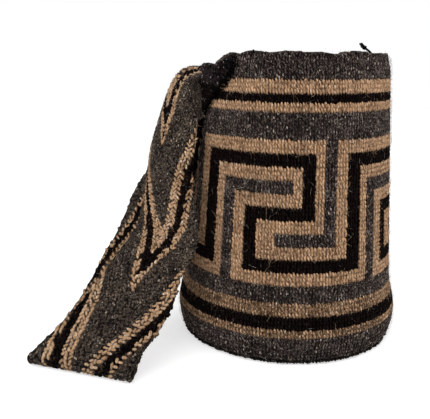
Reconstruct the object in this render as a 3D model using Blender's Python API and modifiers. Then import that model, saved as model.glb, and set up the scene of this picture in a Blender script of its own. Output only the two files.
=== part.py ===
"""Arhuaca mochila: a round crocheted wool bag with one wide woven shoulder strap.

Metres, +Z up. The origin is the centre of the base's underside and the front of the bag faces -Y.
Azimuths are degrees around +Z from +X, so 270 is the front and 90 the back.
"""
import math

import bmesh
import bpy
import numpy as np

# Bag body: a flat round base, a belly just above it and a wall that narrows to the open mouth.
BAG_HEIGHT = 0.280
BASE_FLAT_RADIUS = 0.100
BELLY_RADIUS = 0.1115
BELLY_HEIGHT = 0.030
BELLY_FADE = 0.038
SHOULDER_RADIUS = 0.1070
RIM_RADIUS = 0.0915
WALL_THICKNESS = 0.0045

# The mouth's edge draws in over the last courses.
RIM_TUCK = 0.0035
RIM_TUCK_REACH = 0.022

# Crochet: courses run round the wall, stitches stand side by side in a course.
COURSES = 71
STITCHES_ROUND = 216
COURSE_RELIEF = 0.0008
INNER_RINGS = 5
INNER_RING_SPREAD = 1.6
SHARP_EDGE_DEGREES = 50.0

# The mouth is pulled down where the strap crosses it, as (azimuth, depth, half width, fade) in
# degrees and metres, and its edge is lumpy.
NEAR_DIP = (190.0, 0.0225, 14.0, 38.0)
FAR_DIP = (44.0, 0.006, 10.0, 30.0)
RIM_DIP_REACH = 0.034
RIM_LUMP = 0.0006
RIM_LUMP_REACH = 0.025
RIM_LUMP_WAVES = (7, 11, 17)
RIM_ROUND = 0.0018

# Colour bands of the wall from the base up, as (yarn, courses); "fret" is the patterned field.
WALL_BANDS = (
    ("brown", 7), ("tan", 2), ("black", 3), ("tan", 3), ("brown", 4),
    ("fret", 33),
    ("brown", 6), ("tan", 2), ("black", 2), ("tan", 3), ("brown", 6),
)

# Step fret: one repeat is 12 columns by 11 rows of blocks on a tan ground. The black line is one
# meander that runs into the next repeat, and two brown hooks interlock inside it.
FRET_ROWS = 11
FRET_COLUMN_STITCHES = (5, 3, 4, 4, 4, 6, 5, 3, 4, 3, 4, 4)
FRET_REPEATS = 4
FRET_FIRST_REPEAT = -1
FRET_START_AZIMUTH = 220.8
CLOSING_COLUMNS = 2
BLACK_MEANDER = ((0, 9), (0, 1), (8, 1), (8, 5), (4, 5), (4, 9), (12, 9))
BROWN_HOOKS = (((2, 10), (2, 3), (6, 3)), ((10, 0), (10, 7), (6, 7)))

# Strap: one woven band, both ends sewn to the outside of the wall below the mouth. It is gathered
# to less than its flat width there and in the fall, and its chevrons are gathered with it.
STRAP_FLAT_WIDTH = 0.098
STRAP_THICKNESS = 0.0045
STRAP_ROW = 0.0105
BEND_ROWS = 0.008
LAYING_PASSES = 4
SPAN_SAMPLES = 24
SEWN_STATIONS = 5
STRAP_COLUMNS = 8
CHEVRON_REPEAT = 0.138
CHEVRON_SLOPE = 2.15
CHEVRON_TIP = 0.088
CHEVRON_FOLD_DRAW = 1.22
CHEVRON_STRIPES = (("tan", 0.015), ("black", 0.023), ("tan", 0.025))
OVERSEWN_END = 0.050
FLOOR_SETTLE_HEIGHT = 0.060

# Room left between the pieces. The band lies on a leaning wall, so its room is measured square to it.
CLEARANCE = 0.0003
BAND_CLEARANCE = 0.0007
MOST_LEAN = 2.0
LEAN_STEP = 0.001

# Sewn ends of the strap, as azimuths in degrees and shares of the bag's height. The near end's
# corners run from its upper left over its upper right down its right side.
FAR_SEAM_AZIMUTH = 44.0
FAR_HALF_ANGLE = 10.5
FAR_SEAM_TOP = 0.955
FAR_SEAM_DEPTH = 0.110
NEAR_END = ((213.5, 0.974), (236.0, 0.972), (226.0, 0.880))
NEAR_HIDDEN_SIDE = (207.0, 0.862)

# Sewing yarn: passes over the band's edge and back, at an even pitch.
YARN_RADIUS = 0.0012
YARN_LIFT = 0.0015
YARN_PITCH = 0.0042
YARN_OVERLAP = 0.0050
YARN_BEYOND = 0.0022
YARN_CORNER = 0.0036
YARN_TAIL = ((31.5, 1.030, 0.978), (32.0, 1.020, 1.002), (33.5, 0.995, 1.019), (36.0, 0.965, 1.032))

YARN_COLOURS = {
    "tan": (0.434, 0.254, 0.123, 1.0),
    "black": (0.006, 0.005, 0.006, 1.0),
    "brown": (0.062, 0.047, 0.042, 1.0),
}
YARN_ROUGHNESS = 0.92


def clear_scene():
    """Remove what is in the scene, so that the script can be run again."""
    for item in list(bpy.data.objects):
        bpy.data.objects.remove(item, do_unlink=True)


def yarn_material(yarn):
    """Matt wool yarn in one of the bag's three colours."""
    name = f"{yarn}_wool"
    material = bpy.data.materials.get(name) or bpy.data.materials.new(name)
    material.use_nodes = True
    shader = material.node_tree.nodes["Principled BSDF"]
    shader.inputs["Base Color"].default_value = YARN_COLOURS[yarn]
    shader.inputs["Roughness"].default_value = YARN_ROUGHNESS
    shader.inputs["Metallic"].default_value = 0.0
    material.diffuse_color = YARN_COLOURS[yarn]
    return material


def smooth_step(value):
    """Ease from 0 to 1."""
    value = np.clip(value, 0.0, 1.0)
    return value * value * (3.0 - 2.0 * value)


def wall_radius(height):
    """Outer radius of the wall at a height, or at an array of heights, without the courses' relief."""
    height = np.clip(height, 0.0, BAG_HEIGHT)
    rise = np.clip(1.0 - height / BELLY_HEIGHT, 0.0, 1.0)
    corner = BASE_FLAT_RADIUS + (BELLY_RADIUS - BASE_FLAT_RADIUS) * np.sqrt(1.0 - rise * rise)
    climb = (height - BELLY_HEIGHT) / (BAG_HEIGHT - BELLY_HEIGHT)
    taper = SHOULDER_RADIUS + (RIM_RADIUS - SHOULDER_RADIUS) * climb
    fade = np.clip((height - BELLY_HEIGHT) / BELLY_FADE, 0.0, 1.0)
    belly = (BELLY_RADIUS - SHOULDER_RADIUS) * np.cos(0.5 * math.pi * fade) ** 2
    tuck = RIM_TUCK * np.clip(1.0 - (BAG_HEIGHT - height) / RIM_TUCK_REACH, 0.0, 1.0) ** 2
    return np.where(height < BELLY_HEIGHT, corner, taper + belly - tuck)


def rim_dip(azimuth):
    """How far the mouth's edge is pulled down at an azimuth in degrees."""
    total = 0.0
    for centre, depth, half_width, fade in (NEAR_DIP, FAR_DIP):
        away = np.abs((azimuth - centre + 180.0) % 360.0 - 180.0)
        total = total + depth * smooth_step((half_width + fade - away) / fade)
    return total


def pull_share(height):
    """Share of the mouth's dip that reaches a height of the wall."""
    return smooth_step((height - BAG_HEIGHT + RIM_DIP_REACH) / RIM_DIP_REACH)


def unpulled(azimuth, height):
    """Heights that points of the wall had before the mouth was pulled down."""
    low, high = height, height + rim_dip(azimuth)
    for _ in range(SPAN_SAMPLES):
        middle = 0.5 * (low + high)
        above = middle - rim_dip(azimuth) * pull_share(middle) > height
        low, high = np.where(above, low, middle), np.where(above, middle, high)
    return 0.5 * (low + high)


def lean(azimuth, height):
    """How much longer the level way to the leaning wall is than the shortest, at unpulled heights."""
    high, low = height + LEAN_STEP, height - LEAN_STEP
    rise = high - low - rim_dip(azimuth) * (pull_share(high) - pull_share(low))
    run = wall_radius(high) - wall_radius(low)
    return np.minimum(np.hypot(run, rise) / rise, MOST_LEAN)


def rim_lumps(azimuth):
    """Height of the lumps along the mouth's edge."""
    turn = np.radians(azimuth)
    return sum(RIM_LUMP * np.sin(waves * turn + waves) for waves in RIM_LUMP_WAVES)


def body_profile():
    """Half section of the bag, from the middle of the base's inside over the rim to its underside."""
    course = BAG_HEIGHT / COURSES
    points = [(0.0, WALL_THICKNESS)]
    top = BAG_HEIGHT - RIM_ROUND
    for ring in range(INNER_RINGS + 1):
        height = WALL_THICKNESS + (top - WALL_THICKNESS) * (ring / INNER_RINGS) ** INNER_RING_SPREAD
        points.append((wall_radius(height) - WALL_THICKNESS, height))
    points.append((wall_radius(BAG_HEIGHT) - 0.5 * WALL_THICKNESS, BAG_HEIGHT))
    points.append((wall_radius(top), top))
    for ring in range(COURSES - 1, 0, -1):
        height = ring * course
        proud = 0.5 * COURSE_RELIEF if ring % 2 else -0.5 * COURSE_RELIEF
        points.append((wall_radius(height) + proud, height))
    points.append((BASE_FLAT_RADIUS, 0.0))
    points.append((0.0, 0.0))
    return points


def column_stitches():
    """Stitch number of each column edge round the wall, counted from the fret's first full repeat."""
    edges = []
    stitch = FRET_FIRST_REPEAT * sum(FRET_COLUMN_STITCHES)
    for _ in range(FRET_REPEATS):
        for width in FRET_COLUMN_STITCHES:
            edges.append(stitch)
            stitch += width
    last = FRET_FIRST_REPEAT * sum(FRET_COLUMN_STITCHES) + STITCHES_ROUND
    for column in range(CLOSING_COLUMNS):
        edges.append(stitch + (last - stitch) * column / CLOSING_COLUMNS)
    return edges


def on_line(column, row, line):
    """Whether a block of the fret lies on a line of straight strokes."""
    for (left, low), (right, high) in zip(line, line[1:]):
        across = min(left, right) <= column <= max(left, right)
        along = min(low, high) <= row <= max(low, high)
        if across and along:
            return True
    return False


def fret_yarn(column, row):
    """Yarn of one block of the fret, with rows counted down from its top."""
    wrapped = column + len(FRET_COLUMN_STITCHES)
    if on_line(column, row, BLACK_MEANDER) or on_line(wrapped, row, BLACK_MEANDER):
        return "black"
    if any(on_line(column, row, hook) for hook in BROWN_HOOKS):
        return "brown"
    return "tan"


def wall_yarn(column, course):
    """Yarn of the wall at a column and a course, counted from the base."""
    start = 0
    for yarn, courses in WALL_BANDS:
        if course < start + courses:
            break
        start += courses
    if yarn != "fret":
        return yarn
    if column >= FRET_REPEATS * len(FRET_COLUMN_STITCHES):
        return "tan"
    row = FRET_ROWS - 1 - (course - start) * FRET_ROWS // courses
    return fret_yarn(column % len(FRET_COLUMN_STITCHES), row)


def turned_mesh(name, profile, steps):
    """Turn a half section once round the Z axis and return the closed mesh."""
    outline = bpy.data.meshes.new(f"{name}_section")
    vertices = [(radius, 0.0, height) for radius, height in profile]
    outline.from_pydata(vertices, [(i, i + 1) for i in range(len(vertices) - 1)], [])
    section = bpy.data.objects.new(f"{name}_section", outline)
    bpy.context.scene.collection.objects.link(section)
    turn = section.modifiers.new("turn", "SCREW")
    turn.axis = "Z"
    turn.angle = 2.0 * math.pi
    turn.steps = steps
    turn.render_steps = steps
    turn.use_merge_vertices = True
    turn.merge_threshold = 0.00005
    evaluated = section.evaluated_get(bpy.context.evaluated_depsgraph_get())
    mesh = bpy.data.meshes.new_from_object(evaluated)
    bpy.data.objects.remove(section, do_unlink=True)
    return mesh


def outward(mesh):
    """Turn all faces outwards."""
    work = bmesh.new()
    work.from_mesh(mesh)
    bmesh.ops.recalc_face_normals(work, faces=work.faces)
    work.to_mesh(mesh)
    work.free()


def add_part(name, mesh, collection, yarns):
    """Put a mesh in the scene as one named sub-part with its yarns' materials."""
    mesh.name = name
    part = bpy.data.objects.new(name, mesh)
    for yarn in yarns:
        mesh.materials.append(yarn_material(yarn))
    collection.objects.link(part)
    mesh.shade_smooth()
    mesh.set_sharp_from_angle(angle=math.radians(SHARP_EDGE_DEGREES))
    return part


def make_bag_body(collection):
    """The crocheted body: base, wall and rim in one piece, with the bands and the fret in colour."""
    edges = column_stitches()
    steps = len(edges)
    mesh = turned_mesh("bag_body", body_profile(), steps)
    outward(mesh)
    yarns = list(YARN_COLOURS)
    course_height = BAG_HEIGHT / COURSES
    for face in mesh.polygons:
        centre = face.center
        turn = math.degrees(math.atan2(centre.y, centre.x)) % 360.0
        radius = math.hypot(centre.x, centre.y)
        course = int(centre.z / course_height)
        outside = radius > wall_radius(centre.z) - 0.5 * WALL_THICKNESS
        yarn = wall_yarn(int(turn * steps / 360.0), min(course, COURSES - 1)) if outside else "brown"
        face.material_index = yarns.index(yarn)
    shape_body(mesh, edges)
    return add_part("bag_body", mesh, collection, yarns)


def shape_body(mesh, edges):
    """Move the even columns to their stitches, then pull down and roughen the mouth's edge."""
    steps = len(edges)
    points = np.empty(3 * len(mesh.vertices))
    mesh.vertices.foreach_get("co", points)
    points = points.reshape(-1, 3)
    radius = np.hypot(points[:, 0], points[:, 1])
    column = np.round(np.degrees(np.arctan2(points[:, 1], points[:, 0])) * steps / 360.0).astype(int)
    azimuth = FRET_START_AZIMUTH + np.array(edges)[column % steps] * 360.0 / STITCHES_ROUND
    height = points[:, 2]
    lumpy = smooth_step((height - BAG_HEIGHT + RIM_LUMP_REACH) / RIM_LUMP_REACH)
    height = height - rim_dip(azimuth) * pull_share(height) + rim_lumps(azimuth) * lumpy
    turn = np.radians(azimuth)
    moved = np.stack([radius * np.cos(turn), radius * np.sin(turn), height], axis=-1)
    mesh.vertices.foreach_set("co", moved.ravel())
    mesh.update()


def seat():
    """Distance from the wall to the middle of a band that lies on it."""
    return 0.5 * STRAP_THICKNESS + 0.5 * COURSE_RELIEF + BAND_CLEARANCE


def place(azimuth, radius, height):
    """A point from its azimuth, radius and height."""
    turn = math.radians(azimuth)
    return np.array((radius * math.cos(turn), radius * math.sin(turn), height))


def pulled(azimuth, share):
    """Height of a point of the wall from its share of the bag's height before the pull."""
    height = share * BAG_HEIGHT
    return height - float(rim_dip(azimuth) * pull_share(height))


def by_wall(azimuth, height, level):
    """A point at a height, at a distance from the wall."""
    before = unpulled(azimuth, height)
    return place(azimuth, float(wall_radius(before) + level * lean(azimuth, before)), height)


def on_wall(azimuth, share):
    """A point of the band's middle where it lies on the wall."""
    return by_wall(azimuth, pulled(azimuth, share), seat())


def in_air(azimuth, reach, share):
    """A point off the wall, at a multiple of the wall's radius and a share of the bag's height."""
    height = share * BAG_HEIGHT
    radius = reach * wall_radius(max(height, BELLY_HEIGHT))
    return place(azimuth, radius + (seat() if reach >= 1.0 else 0.0), height)


def rim_middle(azimuth):
    """Radius and height of the middle of the mouth's rounded edge."""
    half = 0.5 * WALL_THICKNESS
    return wall_radius(BAG_HEIGHT - half) - half, BAG_HEIGHT - rim_dip(azimuth) + rim_lumps(azimuth) - half


def round_rim(azimuth, angle, lift):
    """A point of the band round the mouth's edge, from 0 degrees outside it to 180 inside."""
    radius, height = rim_middle(azimuth)
    reach = 0.5 * WALL_THICKNESS + seat() + lift
    turn = math.radians(angle)
    return place(azimuth, radius + reach * math.cos(turn), height + reach * math.sin(turn))


def far_end_corners():
    """Corners of the sewn far end, from the mouth down one side and up the other."""
    left, right = FAR_SEAM_AZIMUTH + FAR_HALF_ANGLE, FAR_SEAM_AZIMUTH - FAR_HALF_ANGLE
    high, low = FAR_SEAM_TOP, FAR_SEAM_TOP - FAR_SEAM_DEPTH
    return [(left, high), (left, low), (right, low), (right, high)]


def sewn_run(start, end):
    """Stations of a sewn stretch between two pairs of (azimuth, share) corners on the wall."""
    run = []
    for share in np.linspace(0.0, 1.0, SEWN_STATIONS):
        left, right = np.array(start) * (1.0 - share) + np.array(end) * share
        run.append((on_wall(*left), on_wall(*right), 0.0))
    return run


def strap_stations():
    """The band's route from its far end to its near end: left edge, right edge and bow.

    The bow is how far the middle of the band stands out from the line between its edges.
    """
    far_high, far_low, far_low_right, far_high_right = far_end_corners()
    left, right = far_high[0], far_high_right[0]
    near_left, near_right, near_side = NEAR_END
    free = [
        (round_rim(left, 15.0, 0.0), round_rim(right, 15.0, 0.0), 0.001),
        (round_rim(left + 0.5, 65.0, 0.001), round_rim(right - 0.5, 65.0, 0.001), 0.001),
        (round_rim(left + 1.0, 115.0, 0.001), round_rim(right - 1.0, 115.0, 0.001), 0.001),
        (round_rim(left + 2.0, 165.0, 0.0), round_rim(right - 2.0, 165.0, 0.0), 0.0),
        (in_air(72.0, 0.740, 0.885), in_air(25.0, 0.560, 0.885), -0.003),
        (in_air(121.0, 0.547, 0.810), in_air(301.0, 0.105, 0.810), -0.005),
        (in_air(170.0, 0.740, 0.850), in_air(216.0, 0.573, 0.840), -0.003),
        (round_rim(181.5, 165.0, 0.0), round_rim(210.5, 165.0, 0.0), 0.0),
        (round_rim(182.0, 115.0, 0.001), round_rim(210.0, 115.0, 0.001), 0.002),
        (round_rim(183.0, 65.0, 0.001), round_rim(209.5, 65.0, 0.001), 0.004),
        (round_rim(184.5, 20.0, 0.001), round_rim(210.0, 15.0, 0.001), 0.006),
        (in_air(188.0, 1.110, 0.915), in_air(210.6, 1.100, 0.900), 0.009),
        (in_air(190.5, 1.175, 0.872), in_air(213.6, 1.135, 0.870), 0.012),
        (in_air(194.0, 1.262, 0.812), in_air(217.0, 1.135, 0.832), 0.013),
        (in_air(197.0, 1.335, 0.755), in_air(220.5, 1.130, 0.778), 0.014),
        (in_air(201.0, 1.405, 0.685), in_air(223.0, 1.170, 0.696), 0.014),
        (in_air(204.0, 1.440, 0.612), in_air(225.0, 1.210, 0.618), 0.014),
        (in_air(208.0, 1.480, 0.517), in_air(227.5, 1.215, 0.524), 0.013),
        (in_air(211.0, 1.560, 0.430), in_air(231.0, 1.210, 0.430), 0.011),
        (in_air(212.0, 1.710, 0.357), in_air(232.0, 1.270, 0.364), 0.008),
        (in_air(213.0, 1.880, 0.282), in_air(232.5, 1.410, 0.306), 0.005),
        (in_air(213.0, 1.990, 0.216), in_air(233.5, 1.510, 0.224), 0.004),
        (in_air(213.0, 2.130, 0.132), in_air(234.0, 1.630, 0.153), 0.002),
        (in_air(212.2, 2.300, 0.064), in_air(232.8, 1.760, 0.086), 0.001),
        (in_air(211.8, 2.375, 0.032), in_air(232.2, 1.830, 0.036), 0.0),
        (in_air(210.8, 2.330, 0.009), in_air(231.0, 1.780, 0.009), 0.0),
        (in_air(209.8, 2.180, 0.070), in_air(228.4, 1.620, 0.080), -0.001),
        (in_air(208.0, 1.990, 0.172), in_air(226.0, 1.470, 0.180), -0.003),
        (in_air(207.0, 1.910, 0.249), in_air(223.0, 1.370, 0.260), -0.005),
        (in_air(204.0, 1.800, 0.320), in_air(220.0, 1.280, 0.330), -0.006),
        (in_air(202.0, 1.700, 0.375), in_air(218.0, 1.190, 0.390), -0.007),
        (in_air(200.0, 1.610, 0.451), in_air(216.0, 1.100, 0.464), -0.008),
        (in_air(196.5, 1.520, 0.529), in_air(214.0, 1.040, 0.541), -0.008),
        (in_air(194.5, 1.400, 0.595), in_air(212.5, 1.020, 0.600), -0.007),
        (in_air(194.0, 1.270, 0.664), in_air(211.5, 1.010, 0.670), -0.006),
        (in_air(196.0, 1.140, 0.735), in_air(212.0, 1.000, 0.745), -0.004),
        (in_air(200.5, 1.050, 0.800), in_air(216.5, 1.000, 0.812), -0.002),
    ]
    far_sewn = sewn_run((far_low, far_low_right), (far_high, far_high_right))
    near_sewn = sewn_run((NEAR_HIDDEN_SIDE, near_side), (near_left, near_right))
    return far_sewn + free + near_sewn


def smooth_run(points, per_span):
    """Points along a smooth curve through the given ones, per_span of them between two."""
    points = np.asarray(points, dtype=float)
    padded = np.vstack([2 * points[0] - points[1], points, 2 * points[-1] - points[-2]])
    run = []
    for before, start, end, after in zip(padded, padded[1:], padded[2:], padded[3:]):
        knots = [0.0]
        for one, two in ((before, start), (start, end), (end, after)):
            knots.append(knots[-1] + max(np.linalg.norm(two[:3] - one[:3]), 1e-6) ** 0.5)
        for step in range(per_span):
            time = knots[1] + (knots[2] - knots[1]) * step / per_span
            run.append(spline_point((before, start, end, after), knots, time))
    run.append(points[-1])
    return np.array(run)


def spline_point(corners, knots, time):
    """One point of a centripetal Catmull-Rom span."""
    level = list(corners)
    spans = ((0, 1), (1, 2), (2, 3))
    level = [blend_between(level[a], level[b], knots[a], knots[b], time) for a, b in spans]
    level = [blend_between(level[i], level[i + 1], knots[i], knots[i + 2], time) for i in range(2)]
    return blend_between(level[0], level[1], knots[1], knots[2], time)


def blend_between(one, two, start, end, time):
    """Linear blend of two points between two times."""
    share = (time - start) / (end - start)
    return one * (1.0 - share) + two * share


def strap_rows():
    """Rows across the band, closer together where it bends, and the length at which it folds."""
    stations = strap_stations()
    edges = np.array([np.concatenate([0.5 * (left + right), left, right, [bow]])
                      for left, right, bow in stations])
    fine = smooth_run(edges, SPAN_SAMPLES)
    steps = np.diff(fine[:, :3], axis=0)
    step_length = np.linalg.norm(steps, axis=1)
    length = np.concatenate([[0.0], np.cumsum(step_length)])
    way = steps / step_length[:, None]
    bend = np.arccos(np.clip(np.sum(way[:-1] * way[1:], axis=1), -1.0, 1.0))
    measure = length + BEND_ROWS * np.concatenate([[0.0], np.cumsum(bend), [bend.sum()]])
    count = int(round(measure[-1] / STRAP_ROW))
    along = np.interp(np.linspace(0.0, measure[-1], count + 1), measure, length)
    even = np.stack([np.interp(along, length, fine[:, k]) for k in range(fine.shape[1])], axis=-1)
    middle, left, right, bow = even[:, :3], even[:, 3:6], even[:, 6:9], even[:, 9]
    forward = np.gradient(middle, axis=0)
    outside = np.cross(forward, right - left)
    outside /= np.linalg.norm(outside, axis=1, keepdims=True)
    across = np.linspace(-1.0, 1.0, STRAP_COLUMNS + 1)
    rows = np.empty((count + 1, STRAP_COLUMNS + 1, 3))
    for column, share in enumerate(across):
        chord = middle + 0.5 * share * (right - left)
        rows[:, column] = chord + outside * (bow * (1.0 - share * share))[:, None]
    fold = along[int(np.argmin(middle[:, 2]))]
    return settle_on_floor(laid_on_wall(rows)), along, fold


def laid_on_wall(rows):
    """Lay the band on the wall and the mouth's edge, and even out its rows where it touches them."""
    for _ in range(LAYING_PASSES):
        laid = clear_of_wall(rows)
        touching = np.linalg.norm(laid - rows, axis=-1, keepdims=True) > 0.1 * CLEARANCE
        eased = laid.copy()
        eased[1:-1] = 0.25 * laid[:-2] + 0.5 * laid[1:-1] + 0.25 * laid[2:]
        rows = np.where(touching, eased, laid)
    return clear_of_wall(rows)


def clear_of_wall(rows):
    """Push the band out to its seat wherever it would sink into the wall or the mouth's edge."""
    azimuth = np.degrees(np.arctan2(rows[..., 1], rows[..., 0]))
    radius = np.hypot(rows[..., 0], rows[..., 1])
    height = rows[..., 2]
    half = 0.5 * WALL_THICKNESS
    over, cap = rim_middle(azimuth)
    before = unpulled(azimuth, height)
    core = wall_radius(before) - half
    side = np.where(radius >= core, 1.0, -1.0)
    pushed = core + side * np.maximum(np.abs(radius - core), half + seat() * lean(azimuth, before))
    gap = np.hypot(radius - over, height - cap)
    stretch = np.maximum(1.0, (half + seat()) / np.maximum(gap, 1e-6))
    above = height > cap
    new_radius = np.where(above, over + (radius - over) * stretch, pushed)
    new_height = np.where(above, cap + (height - cap) * stretch, height)
    turn = np.radians(azimuth)
    return np.stack([new_radius * np.cos(turn), new_radius * np.sin(turn), new_height], axis=-1)


def settle_on_floor(rows):
    """Lower or raise the bottom of the band, so that its underside meets the floor."""
    low = rows[:, :, 2].min() - 0.5 * STRAP_THICKNESS
    share = 1.0 - smooth_step(rows[:, :, 2] / FLOOR_SETTLE_HEIGHT)
    rows[:, :, 2] -= low * share
    return rows


def strap_yarn(along, across, fold, end):
    """Yarn of the band: nested chevrons whose tips point to the fold, and an oversewn near end.

    The chevrons from the fold on are drawn out along the band.
    """
    if end - along < OVERSEWN_END:
        return "black"
    upward = fold - along - CHEVRON_TIP
    if upward < 0.0:
        upward /= CHEVRON_FOLD_DRAW
    phase = (upward - CHEVRON_SLOPE * across) % CHEVRON_REPEAT
    for yarn, width in CHEVRON_STRIPES:
        if phase < width:
            return yarn
        phase -= width
    return "brown"


def make_strap(collection):
    """The woven band: an open sheet of rows and columns with its thickness added."""
    rows, along, fold = strap_rows()
    count = len(rows) - 1
    work = bmesh.new()
    bmesh.ops.create_grid(work, x_segments=STRAP_COLUMNS, y_segments=count, size=1.0)
    work.verts.ensure_lookup_table()
    for vertex in work.verts:
        column = int(round(0.5 * (vertex.co.x + 1.0) * STRAP_COLUMNS))
        row = int(round(0.5 * (vertex.co.y + 1.0) * count))
        vertex.index = row * (STRAP_COLUMNS + 1) + column
    yarns = list(YARN_COLOURS)
    for face in work.faces:
        row, column = divmod(min(vertex.index for vertex in face.verts), STRAP_COLUMNS + 1)
        across = abs((column + 0.5) / STRAP_COLUMNS - 0.5) * STRAP_FLAT_WIDTH
        yarn = strap_yarn(0.5 * (along[row] + along[row + 1]), across, fold, along[-1])
        face.material_index = yarns.index(yarn)
    for vertex in work.verts:
        row, column = divmod(vertex.index, STRAP_COLUMNS + 1)
        vertex.co = rows[row, column]
    mesh = bpy.data.meshes.new("shoulder_strap")
    work.to_mesh(mesh)
    work.free()
    strap = add_part("shoulder_strap", mesh, collection, yarns)
    thick = strap.modifiers.new("thickness", "SOLIDIFY")
    thick.thickness = STRAP_THICKNESS
    thick.offset = 0.0
    thick.use_even_offset = False
    return strap


def seam_path(corners):
    """Course of the sewing yarn along the band's edge, with the band on the right of the corners' run.

    Each side of the edge has an even number of passes, so the yarn turns each corner on the wall.
    """
    per_degree = math.radians(RIM_RADIUS)
    flat = [np.array((azimuth * per_degree, pulled(azimuth, share))) for azimuth, share in corners]
    wall_level = 0.5 * COURSE_RELIEF + CLEARANCE + YARN_RADIUS
    band_level = seat() + 0.5 * STRAP_THICKNESS + CLEARANCE + YARN_RADIUS + YARN_LIFT
    path = []
    last_way = None
    for start, end in zip(flat, flat[1:]):
        length = np.linalg.norm(end - start)
        along = (end - start) / length
        outward_way = np.array((-along[1], along[0]))
        if last_way is not None:
            turn = (last_way + outward_way) / np.linalg.norm(last_way + outward_way)
            path.append((start + turn * (YARN_CORNER + YARN_BEYOND), wall_level))
        last_way = outward_way
        passes = 2 * max(1, int(length / (2.0 * YARN_PITCH)))
        first = 0.5 * YARN_PITCH
        for number in range(passes):
            spot = start + along * (first + (length - 2.0 * first) * number / (passes - 1))
            one = [
                (spot - outward_way * YARN_OVERLAP, band_level),
                (spot + outward_way * YARN_CORNER, band_level),
                (spot + outward_way * (YARN_CORNER + YARN_BEYOND), wall_level),
            ]
            path.extend(one if number % 2 else one[::-1])
    return [by_wall(spot[0] / per_degree, spot[1], level) for spot, level in path]


def make_seam(name, path, collection):
    """The sewing yarn of one end of the strap, as one round cord."""
    curve = bpy.data.curves.new(name, "CURVE")
    curve.dimensions = "3D"
    curve.bevel_depth = YARN_RADIUS
    curve.bevel_resolution = 1
    curve.use_fill_caps = True
    spline = curve.splines.new("POLY")
    spline.points.add(len(path) - 1)
    for point, position in zip(spline.points, path):
        point.co = (*position, 1.0)
    guide = bpy.data.objects.new(name, curve)
    bpy.context.scene.collection.objects.link(guide)
    mesh = bpy.data.meshes.new_from_object(guide.evaluated_get(bpy.context.evaluated_depsgraph_get()))
    bpy.data.objects.remove(guide, do_unlink=True)
    work = bmesh.new()
    work.from_mesh(mesh)
    bmesh.ops.remove_doubles(work, verts=work.verts, dist=0.00002)
    bmesh.ops.recalc_face_normals(work, faces=work.faces)
    work.to_mesh(mesh)
    work.free()
    mesh.materials.clear()
    return add_part(name, mesh, collection, ["black"])


def main():
    """Build the bag."""
    clear_scene()
    collection = bpy.data.collections.new("arhuaca_mochila_bag")
    bpy.context.scene.collection.children.link(collection)
    make_bag_body(collection)
    make_strap(collection)
    make_seam("near_strap_seam", seam_path(NEAR_END), collection)
    tail = [in_air(*spot) for spot in YARN_TAIL]
    make_seam("far_strap_seam", seam_path(far_end_corners()) + tail, collection)


main()
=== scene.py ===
"""Arhuaca mochila: a crocheted wool bag with one plaited shoulder strap, dressed over its solids.

Metres, +Z up, the same frame as the solids. Azimuths are degrees round +Z from +X, 270 is the front.
"""
import math

import bpy
import numpy as np
from bpy.props import FloatProperty, FloatVectorProperty, IntProperty, PointerProperty
from mathutils import Matrix, Vector


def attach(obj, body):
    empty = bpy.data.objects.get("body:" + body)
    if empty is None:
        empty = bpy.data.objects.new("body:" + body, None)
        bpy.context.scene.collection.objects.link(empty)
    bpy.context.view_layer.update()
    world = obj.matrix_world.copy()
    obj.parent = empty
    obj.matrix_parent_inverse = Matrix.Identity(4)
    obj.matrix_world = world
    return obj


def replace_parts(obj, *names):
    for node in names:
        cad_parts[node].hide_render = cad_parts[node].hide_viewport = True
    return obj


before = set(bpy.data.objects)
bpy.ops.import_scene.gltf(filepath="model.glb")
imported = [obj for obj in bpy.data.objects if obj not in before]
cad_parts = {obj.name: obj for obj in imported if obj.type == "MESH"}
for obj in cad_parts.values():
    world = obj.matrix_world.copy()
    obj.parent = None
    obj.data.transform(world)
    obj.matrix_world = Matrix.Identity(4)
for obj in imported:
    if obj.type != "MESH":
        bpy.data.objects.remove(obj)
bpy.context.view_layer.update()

bl_info = {
    "name": "Crocheted wool mochila",
    "version": (1, 0, 0),
    "blender": (4, 5, 0),
    "location": "View3D > Sidebar > Mochila",
    "description": "Dresses the solids of a crocheted wool bag with its stitches, strap, yarn and hair",
    "category": "Object",
}

MM = 0.001

# Bag body, as its solid is made.
BAG_HEIGHT = 0.280
BASE_FLAT_RADIUS = 0.100
BELLY_RADIUS = 0.1115
BELLY_HEIGHT = 0.030
BELLY_FADE = 0.038
SHOULDER_RADIUS = 0.1070
RIM_RADIUS = 0.0915
WALL_THICKNESS = 0.0045
RIM_TUCK = 0.0035
RIM_TUCK_REACH = 0.022
COURSES = 71
STITCHES_ROUND = 216
COURSE = BAG_HEIGHT / COURSES
RELIEF = 0.0008

# Where the strap pulls the mouth down: azimuth, depth, half width and fade.
MOUTH_DIPS = ((190.0, 0.0225, 14.0, 38.0), (44.0, 0.006, 10.0, 30.0))
DIP_REACH = 0.034
LUMP = 0.0006
LUMP_REACH = 0.025
LUMP_WAVES = (7, 11, 17)

# Colour bands from the base up and the step fret, in whole courses and stitches.
BANDS = (
    ("brown", 7), ("umber", 2), ("black", 3), ("umber", 3), ("brown", 4),
    ("fret", 33),
    ("brown", 6), ("tan", 2), ("black", 2), ("tan", 3), ("brown", 6),
)
FRET_ROWS = 11
FRET_COLUMNS = (5, 3, 4, 4, 4, 6, 5, 3, 4, 3, 4, 4)
# Four repeats go round; where the rounds close at the back, two of them have wider blocks.
FRET_WIDENED = (8, 0, 0, 12)
FRET_START = 220.8
MEANDER = ((0, 9), (0, 1), (8, 1), (8, 5), (4, 5), (4, 9), (12, 9))
HOOKS = (((2, 10), (2, 3), (6, 3)), ((10, 0), (10, 7), (6, 7)))

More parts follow.
